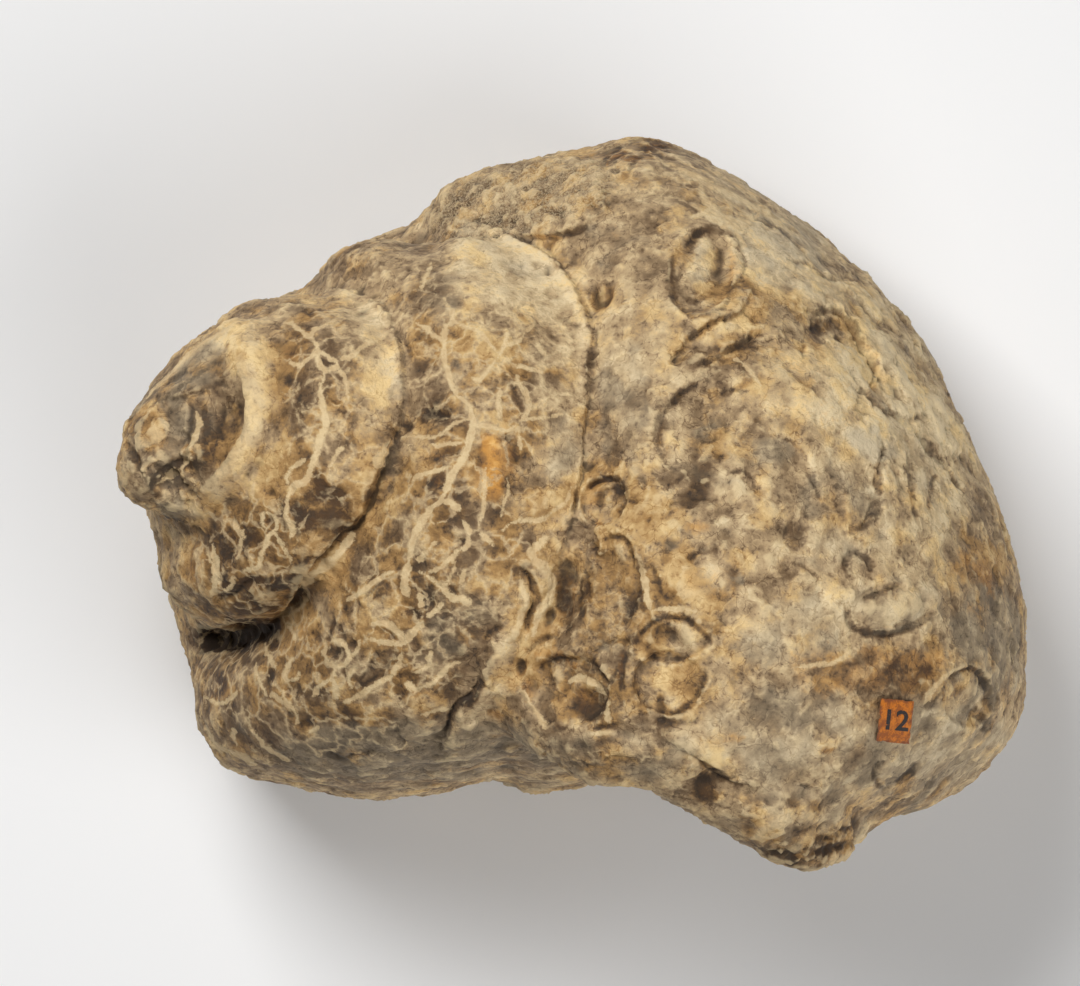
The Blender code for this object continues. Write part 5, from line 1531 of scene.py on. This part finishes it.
def paint(red, green, blue):
    """A colour as the eye names it, from 0 to 255, turned into light."""
    parts = [c / 255 for c in (red, green, blue)]
    return (*[p / 12.92 if p <= 0.04045 else ((p + 0.055) / 1.055) ** 2.4 for p in parts], 1.0)


print("the eye's middle grey has", round(paint(128, 128, 128)[0], 2), "of the light of white")

# %% [markdown]
# ## The stone's finish
#
# A photograph wrapped round the stone would smear on its flanks and has no back. Noise that is worked out in
# space fits the stone from every side. Its sizes are in millimetres, which makes them easy to judge.

# %% Noise and cells in space


def new_finish(name, roughness):
    """A new material, a wire to start its nodes from, and the place on the object in millimetres."""
    material = bpy.data.materials.new(name)
    material.use_nodes = True
    tree = material.node_tree
    tree.nodes["Principled BSDF"].inputs["Roughness"].default_value = roughness
    start = Wire(tree)
    place = start.node("ShaderNodeTexCoord", {}, {}, "Object")
    place = start.node("ShaderNodeMapping", {}, {"Vector": place, "Scale": (1000, 1000, 1000)})
    return material, start, place


def speckle(place, size, detail=3.0, roughness=0.55, colour=False):
    """Noise with patches of this size in millimetres."""
    return place.node(
        "ShaderNodeTexNoise",
        {"noise_dimensions": "3D"},
        {"Vector": place, "Scale": 1 / size, "Detail": detail, "Roughness": roughness},
        "Color" if colour else "Fac",
    )


def bent(place, size, amount):
    """The place pushed about by noise of this size, by this many millimetres."""
    push = speckle(place, size, 2.0, colour=True)
    centred = place.node("ShaderNodeVectorMath", {"operation": "SUBTRACT"}, {0: push, 1: (0.5, 0.5, 0.5)})
    scaled = place.node("ShaderNodeVectorMath", {"operation": "SCALE"}, {0: centred, "Scale": 2 * amount})
    return place.node("ShaderNodeVectorMath", {"operation": "ADD"}, {0: place, 1: scaled})


def cell_edge(place, size):
    """How far a place is from the edge of its cell, in millimetres."""
    edge = place.node(
        "ShaderNodeTexVoronoi", {"feature": "DISTANCE_TO_EDGE"}, {"Vector": place, "Scale": 1 / size}
    )
    return edge * size


def mottling(shade, stops):
    return shade.node("ShaderNodeValToRGB", {"stops": stops}, {"Fac": shade})


print("helpers for noise and cells are ready")

# %% [markdown]
# On the whorls a net of pale lines runs round darker cells. The distance to the edge of Voronoi cells gives
# it, once their places are bent by noise, since plain cells have straight sides. The layers of the finish
# share this net and three sizes of noise.

# %% Patterns that the layers share
STONE_ROUGHNESS = 0.8
MOTTLE_SIZE = 4.2
FLECK_SIZE = 1.4
GRAIN_SIZE = 0.5
BEND_SIZE = 3.8
BEND_BY = 2.4
NET_CELL = 6.8

stone_paint, start, place = new_finish("fossil_limestone", STONE_ROUGHNESS)
mottle = speckle(place, MOTTLE_SIZE, 4.0, 0.62)
flecks = speckle(place, FLECK_SIZE, 3.0, 0.62)
grain = speckle(place, GRAIN_SIZE, 2.0, 0.7)
ragged = (mottle - 0.5) * 0.9 + (flecks - 0.5) * 0.8
net = (start.number("net") + ragged * 0.6).step(0.2, 0.7)
warped = bent(place, BEND_SIZE, BEND_BY)
edge = cell_edge(warped, NET_CELL)
print("nodes for the patterns", len(stone_paint.node_tree.nodes))

# %% [markdown]
# First comes how light the stone is, as one number: clouds, mottles and flecks, folds like those of poured
# mud, darker cells within the net, and hair cracks. The washes and dabs join in here, painted shade among
# them.

# %% How light the stone is
MIDDLE_SHADE = 0.555
CLOUD_SHARE = 0.08
MOTTLE_SHARE = 0.7
FLECK_SHARE = 0.42
TONE_SHARE = 0.30
FOLD_SIZE = 8.5
FOLD_DARK = 0.10
FOLD_PALE = 0.07
NET_PALE = 0.05
CELL_DARK = 0.15
HAIR_CELL = 4.0
HAIR_DARK = 0.16

shade = MIDDLE_SHADE + start.number("cloud") * CLOUD_SHARE
shade = shade + (mottle - 0.5) * MOTTLE_SHARE + (flecks - 0.5) * FLECK_SHARE
shade = shade + mottle.step(0.52, 0.57) * 0.03 - flecks.step(0.41, 0.35) * 0.10
fold = speckle(warped, FOLD_SIZE, 1.0, 0.5)
shade = shade - (fold.step(0.535, 0.55) - fold.step(0.53, 0.60)) * FOLD_DARK
shade = shade + (fold.step(0.50, 0.53) - fold.step(0.532, 0.54)) * FOLD_PALE
shade = shade + start.number("tone") * TONE_SHARE + net * (NET_PALE - edge.step(0.2, 1.3) * CELL_DARK)
hair = cell_edge(warped, HAIR_CELL).step(0.16, 0.04) * mottle.step(0.47, 0.53)
shade = shade - hair * (1 - net) * HAIR_DARK
print("a wash of full strength changes the shade by", TONE_SHARE)

# %% [markdown]
# A ramp turns the shade into a colour, from dark to pale. Limestone stained by iron has several such ramps:
# brown, gold, grey, rust and amber. Noise and the kept numbers make the masks that lay one over the other.

# %% Brown, gold, grey, rust and amber
UMBER = paint(62, 46, 29)
BROWN = paint(104, 79, 51)
GREY_BROWN = paint(141, 116, 84)
TAN = paint(180, 152, 113)
PALE_TAN = paint(208, 182, 139)
CREAM = paint(234, 211, 168)
DARK_GREY = paint(90, 77, 59)
GREY = paint(160, 143, 115)
PALE_GREY = paint(206, 189, 158)
DARK_OCHRE = paint(88, 60, 29)
OCHRE = paint(184, 140, 78)
PALE_OCHRE = paint(241, 206, 140)
DARK_RUST = paint(94, 62, 32)
RUST = paint(166, 118, 60)
PALE_RUST = paint(222, 170, 98)
AMBER = paint(206, 146, 66)
PALE_AMBER = paint(236, 184, 104)

BROWNS = [(0.05, UMBER), (0.28, BROWN), (0.45, GREY_BROWN), (0.6, TAN), (0.76, PALE_TAN), (0.95, CREAM)]
GOLDS = [(0.1, DARK_OCHRE), (0.5, OCHRE), (0.95, PALE_OCHRE)]
GREYS = [(0.1, DARK_GREY), (0.55, GREY), (0.95, PALE_GREY)]
RUSTS = [(0.15, DARK_RUST), (0.5, RUST), (0.9, PALE_RUST)]
AMBERS = [(0.2, RUST), (0.5, AMBER), (0.8, PALE_AMBER)]

hue = start.number("hue") + ragged * 2.0
gold = hue.step(0.0, 0.9) * 0.7
grey = (start.number("grey") + ragged * 0.8 - hue * 0.55).step(0.12, 0.8) * 0.68
rust = (start.number("rust") + ragged * 1.1).step(0.2, 1.0) * 0.75
amber = (start.number("rust") + ragged * 2.0).step(1.1, 2.2) * 0.8
colour = mottling(shade, BROWNS)
for mask, stops in ((gold, GOLDS), (grey, GREYS), (rust, RUSTS), (amber, AMBERS)):
    colour = mask.over(colour, mottling(shade, stops))
print("nodes with the ramps", len(stone_paint.node_tree.nodes))

# %% [markdown]
# The fine net and the traced veins are the same pale mineral. A little noise is added to the distance from a
# line before it becomes a mask, so that a vein frays and breaks off here and there, as mineral does.

# %% Pale net and veins
BONE = paint(230, 205, 158)
VEIN_TAN = paint(214, 184, 136)
VEIN_FRINGE = 0.22

lines = (edge + (flecks - 0.5) * 2.0).step(0.62, 0.1) * mottle.step(0.36, 0.46) * net
colour = (lines * 0.7).over(colour, flecks.step(0.35, 0.65).over(TAN, BONE))
vein_edge = start.number("vein") + (flecks - 0.5) * 1.9 + (grain - 0.5) * 0.6
colour = (vein_edge.step(1.5, 0.3) * 0.12).over(colour, BROWN)
vein = vein_edge.step(VEIN_FRINGE, -0.25) * 0.8
colour = vein.over(colour, ragged.step(-0.15, 0.15).over(VEIN_TAN, BONE))
print("veins fade out", VEIN_FRINGE, "mm outside their traced edge")

# %% [markdown]
# Hollows, valleys and cracks are darkened, partly by dirt and partly as painted shade. Edges are worn pale,
# and the crust has cream crumbs. These come last, as the dirt, wear and crumbs came last on the real stone
# too.

# %% Dirt and painted shade, wear and crumbs
# The dark brown of dirt, which is also the painted shade in hollows and cracks.
DIRT_AND_SHADE = paint(52, 40, 28)
DIRT_AND_SHADE_STRENGTH = 0.75
CRACK_DIRT_AND_SHADE = 0.6
WEAR_STRENGTH = 0.45
CRUMB_STRENGTH = 0.4

depth = start.number("hollow")
# Darker where a corner lies deep under its neighbours: partly dirt, partly painted shade in hollows and
# valleys.
dirt_and_shade = (depth * 1.5 + start.number("valley") * 0.35 + ragged * 0.6).step(0.3, 1.4)
dirt_and_shade = dirt_and_shade * (1 - net * 0.3)
# Cracks darken the same way, partly from dirt in them and partly as painted shade.
crack = (start.number("crack") + ragged * 1.5).step(0.45, -0.4)
colour = (dirt_and_shade.at_least(crack * CRACK_DIRT_AND_SHADE) * DIRT_AND_SHADE_STRENGTH).over(colour, DIRT_AND_SHADE)
wear = (depth * -2.4 + ragged * 0.8).step(0.3, 1.1)
colour = (wear * WEAR_STRENGTH).over(colour, BONE)
crumbs = start.number("crust") * grain.step(0.45, 0.6)
colour = (crumbs * CRUMB_STRENGTH).over(colour, CREAM)
colour.into("Base Color")
print("dirt covers up to", DIRT_AND_SHADE_STRENGTH, "and wear up to", WEAR_STRENGTH, "of the colour")

# %% [markdown]
# Dull stone has a high roughness, a little higher where hollows and cracks are darkened. Grain finer than the
# mesh is left to a bump, which only tilts the light: real relief of that size would need millions of
# triangles.

# %% Dullness and grain
GRAIN_STRENGTH = 0.55
GRAIN_DEPTH = 0.9 * MM

roughness = STONE_ROUGHNESS + (flecks - 0.5) * 0.3 + dirt_and_shade * 0.1
roughness.into("Roughness")
relief = flecks * 0.8 + grain * (0.25 + start.number("crust") * 0.6)
bump_values = {"Height": relief, "Strength": GRAIN_STRENGTH, "Distance": GRAIN_DEPTH}
start.node("ShaderNodeBump", {}, bump_values).into("Normal")
stone.data.materials.append(stone_paint)
print("the stone's finish has", len(stone_paint.node_tree.nodes), "nodes")

# %% [markdown]
# ## Fewer triangles where nothing is marked
#
# The fine skin has more triangles than a library part should. They are thinned out last, when every corner
# already has its place and its numbers. Corners beside a mark are kept, and flat and hidden ones go first.

# %% Thinned skin
TRIANGLES = 194_000
BESIDE_MARK = 0.9
UPPER_FACING = 0.05
UPPER_SPARE = 0.8
# How much the thinning heeds which corners are spare. It needs very little.
SPARE_FACTOR = 1e-5

upper = normals[:, 2] >= UPPER_FACING
beside_mark = np.minimum(numbers["vein"], numbers["crack"]) < BESIDE_MARK
spare = stone.vertex_groups.new(name="spare")
for chosen, share in ((~upper, 1.0), (upper, UPPER_SPARE), (beside_mark, 0.0)):
    spare.add(np.flatnonzero(chosen).tolist(), share, "REPLACE")
finish_with(stone, "TRIANGULATE")
finish_with(
    stone,
    "DECIMATE",
    ratio=TRIANGLES / len(stone.data.polygons),
    vertex_group="spare",
    vertex_group_factor=SPARE_FACTOR,
)
stone.vertex_groups.clear()
move_corners(stone.data, np.clip(corner_places(stone.data), lowest, highest))
make_active(stone)
bpy.ops.object.shade_smooth()
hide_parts("fossil_snail")
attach(stone, "root")
print("stone triangles", sum(len(p.vertices) - 2 for p in stone.data.polygons))

# %% [markdown]
# ## The number label
#
# A slip of orange paper is stuck on the stone, and its edges have gone brown and a little ragged. The slip is
# split into small squares, so that its rim can be pushed inward a little where noise says so.

# %% Paper
LABEL_MIDDLE = (73 * MM, -49 * MM)
LABEL_SIDES = (7.6 * MM, 9.8 * MM)
LABEL_TURN = math.radians(-6)
EDGE_WEAR = 0.3
paper = copy_of_node("number_label", "orange_label")
make_active(paper)
bpy.ops.object.mode_set(mode="EDIT")
bpy.ops.mesh.select_all(action="SELECT")
bpy.ops.mesh.tris_convert_to_quads()
bpy.ops.mesh.subdivide(number_cuts=3)
bpy.ops.object.mode_set(mode="OBJECT")

paper_places = corner_places(paper.data)
across = paper_places[:, :2] - LABEL_MIDDLE
turned = np.stack([
    across[:, 0] * math.cos(LABEL_TURN) + across[:, 1] * math.sin(LABEL_TURN),
    across[:, 1] * math.cos(LABEL_TURN) - across[:, 0] * math.sin(LABEL_TURN),
], axis=1)
to_edge = (np.array(LABEL_SIDES) / 2 - np.abs(turned)).min(axis=1) / MM
ragged_edge = smooth_step(0.25, 0.0, to_edge) * smooth_step(-0.1, 0.5, noise_at(paper_places, 1.1 * MM))
inward = np.array(LABEL_MIDDLE) - paper_places[:, :2]
inward /= np.linalg.norm(inward, axis=1)[:, None] + 1e-9
paper_places[:, :2] += inward * ragged_edge[:, None] * EDGE_WEAR * MM
move_corners(paper.data, paper_places)
keep_number(paper.data, "to_edge", to_edge)
print("paper corners", len(paper_places))

# %% [markdown]
# The paper is a blotchy orange with fine fibres, and browner near its rim, which the distance that was kept
# at its corners tells the material. The ink is dark and worn off in small spots, where the orange shows.

# %% Paper and ink finish
ORANGE = paint(212, 120, 10)
DEEP_ORANGE = paint(156, 80, 6)
BROWNED = paint(110, 58, 28)
INK = paint(30, 20, 16)
PAPER_ROUGHNESS = 0.62
INK_ROUGHNESS = 0.5
FIBRE_STRENGTH = 0.3
FIBRE_DEPTH = 0.2 * MM

paper_paint, start, place = new_finish("label_paper", PAPER_ROUGHNESS)
blotches = speckle(place, 2.2, 4.0, 0.6)
fibres = speckle(place, 0.35, 2.0)
colour = (blotches + (fibres - 0.5) * 0.5).step(0.38, 0.62).over(DEEP_ORANGE, ORANGE)
browned = (start.number("to_edge") + (blotches - 0.5) * 2.5).step(0.9, -0.1)
(browned * 0.6).over(colour, BROWNED).into("Base Color")
bump_values = {"Height": fibres, "Strength": FIBRE_STRENGTH, "Distance": FIBRE_DEPTH}
start.node("ShaderNodeBump", {}, bump_values).into("Normal")

ink_paint, start, place = new_finish("label_ink", INK_ROUGHNESS)
worn = speckle(place, 0.6, 3.0).step(0.62, 0.72)
(worn * 0.7).over(INK, DEEP_ORANGE).into("Base Color")

paper.data.materials.append(paper_paint)
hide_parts("number_label")
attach(paper, "root")
print("nodes of paper and ink", len(paper_paint.node_tree.nodes), len(ink_paint.node_tree.nodes))

# %% [markdown]
# The number is text, turned into a thin mesh. A ray from above finds the paper under each of its corners, so
# that the print follows the slip's bend. The number here is a plain one of its own.

# %% Printed number
LABEL_TEXT = "12"
TEXT_SIZE = 6.4 * MM
TEXT_THICK = 0.02 * MM
TEXT_BOLDER = 0.12 * MM
TEXT_JOIN = 0.001 * MM

bpy.ops.object.select_all(action="DESELECT")
bpy.ops.object.text_add()
ink = bpy.context.object
ink.name = "label_number"
ink.data.body = LABEL_TEXT
ink.data.size = TEXT_SIZE
ink.data.align_x = "CENTER"
ink.data.align_y = "CENTER"
ink.data.extrude = TEXT_THICK
ink.data.offset = TEXT_BOLDER
bpy.ops.object.convert(target="MESH")
bpy.ops.object.mode_set(mode="EDIT")
bpy.ops.mesh.select_all(action="SELECT")
bpy.ops.mesh.remove_doubles(threshold=TEXT_JOIN)
bpy.ops.mesh.quads_convert_to_tris()
bpy.ops.mesh.subdivide(number_cuts=1)
bpy.ops.object.mode_set(mode="OBJECT")

bpy.context.view_layer.update()
sheet = BVHTree.FromObject(paper, bpy.context.evaluated_depsgraph_get())
ink_places = corner_places(ink.data)
laid = []
for x, y, z in ink_places:
    over_x = LABEL_MIDDLE[0] + x * math.cos(LABEL_TURN) - y * math.sin(LABEL_TURN)
    over_y = LABEL_MIDDLE[1] + x * math.sin(LABEL_TURN) + y * math.cos(LABEL_TURN)
    hit, normal, _, _ = sheet.ray_cast(Vector((over_x, over_y, 1.0)), Vector((0, 0, -1)))
    laid.append(hit + normal * (z + 2 * TEXT_THICK))
move_corners(ink.data, np.array(laid))
ink.data.materials.append(ink_paint)
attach(ink, "root")
print("number triangles", len(ink.data.polygons))
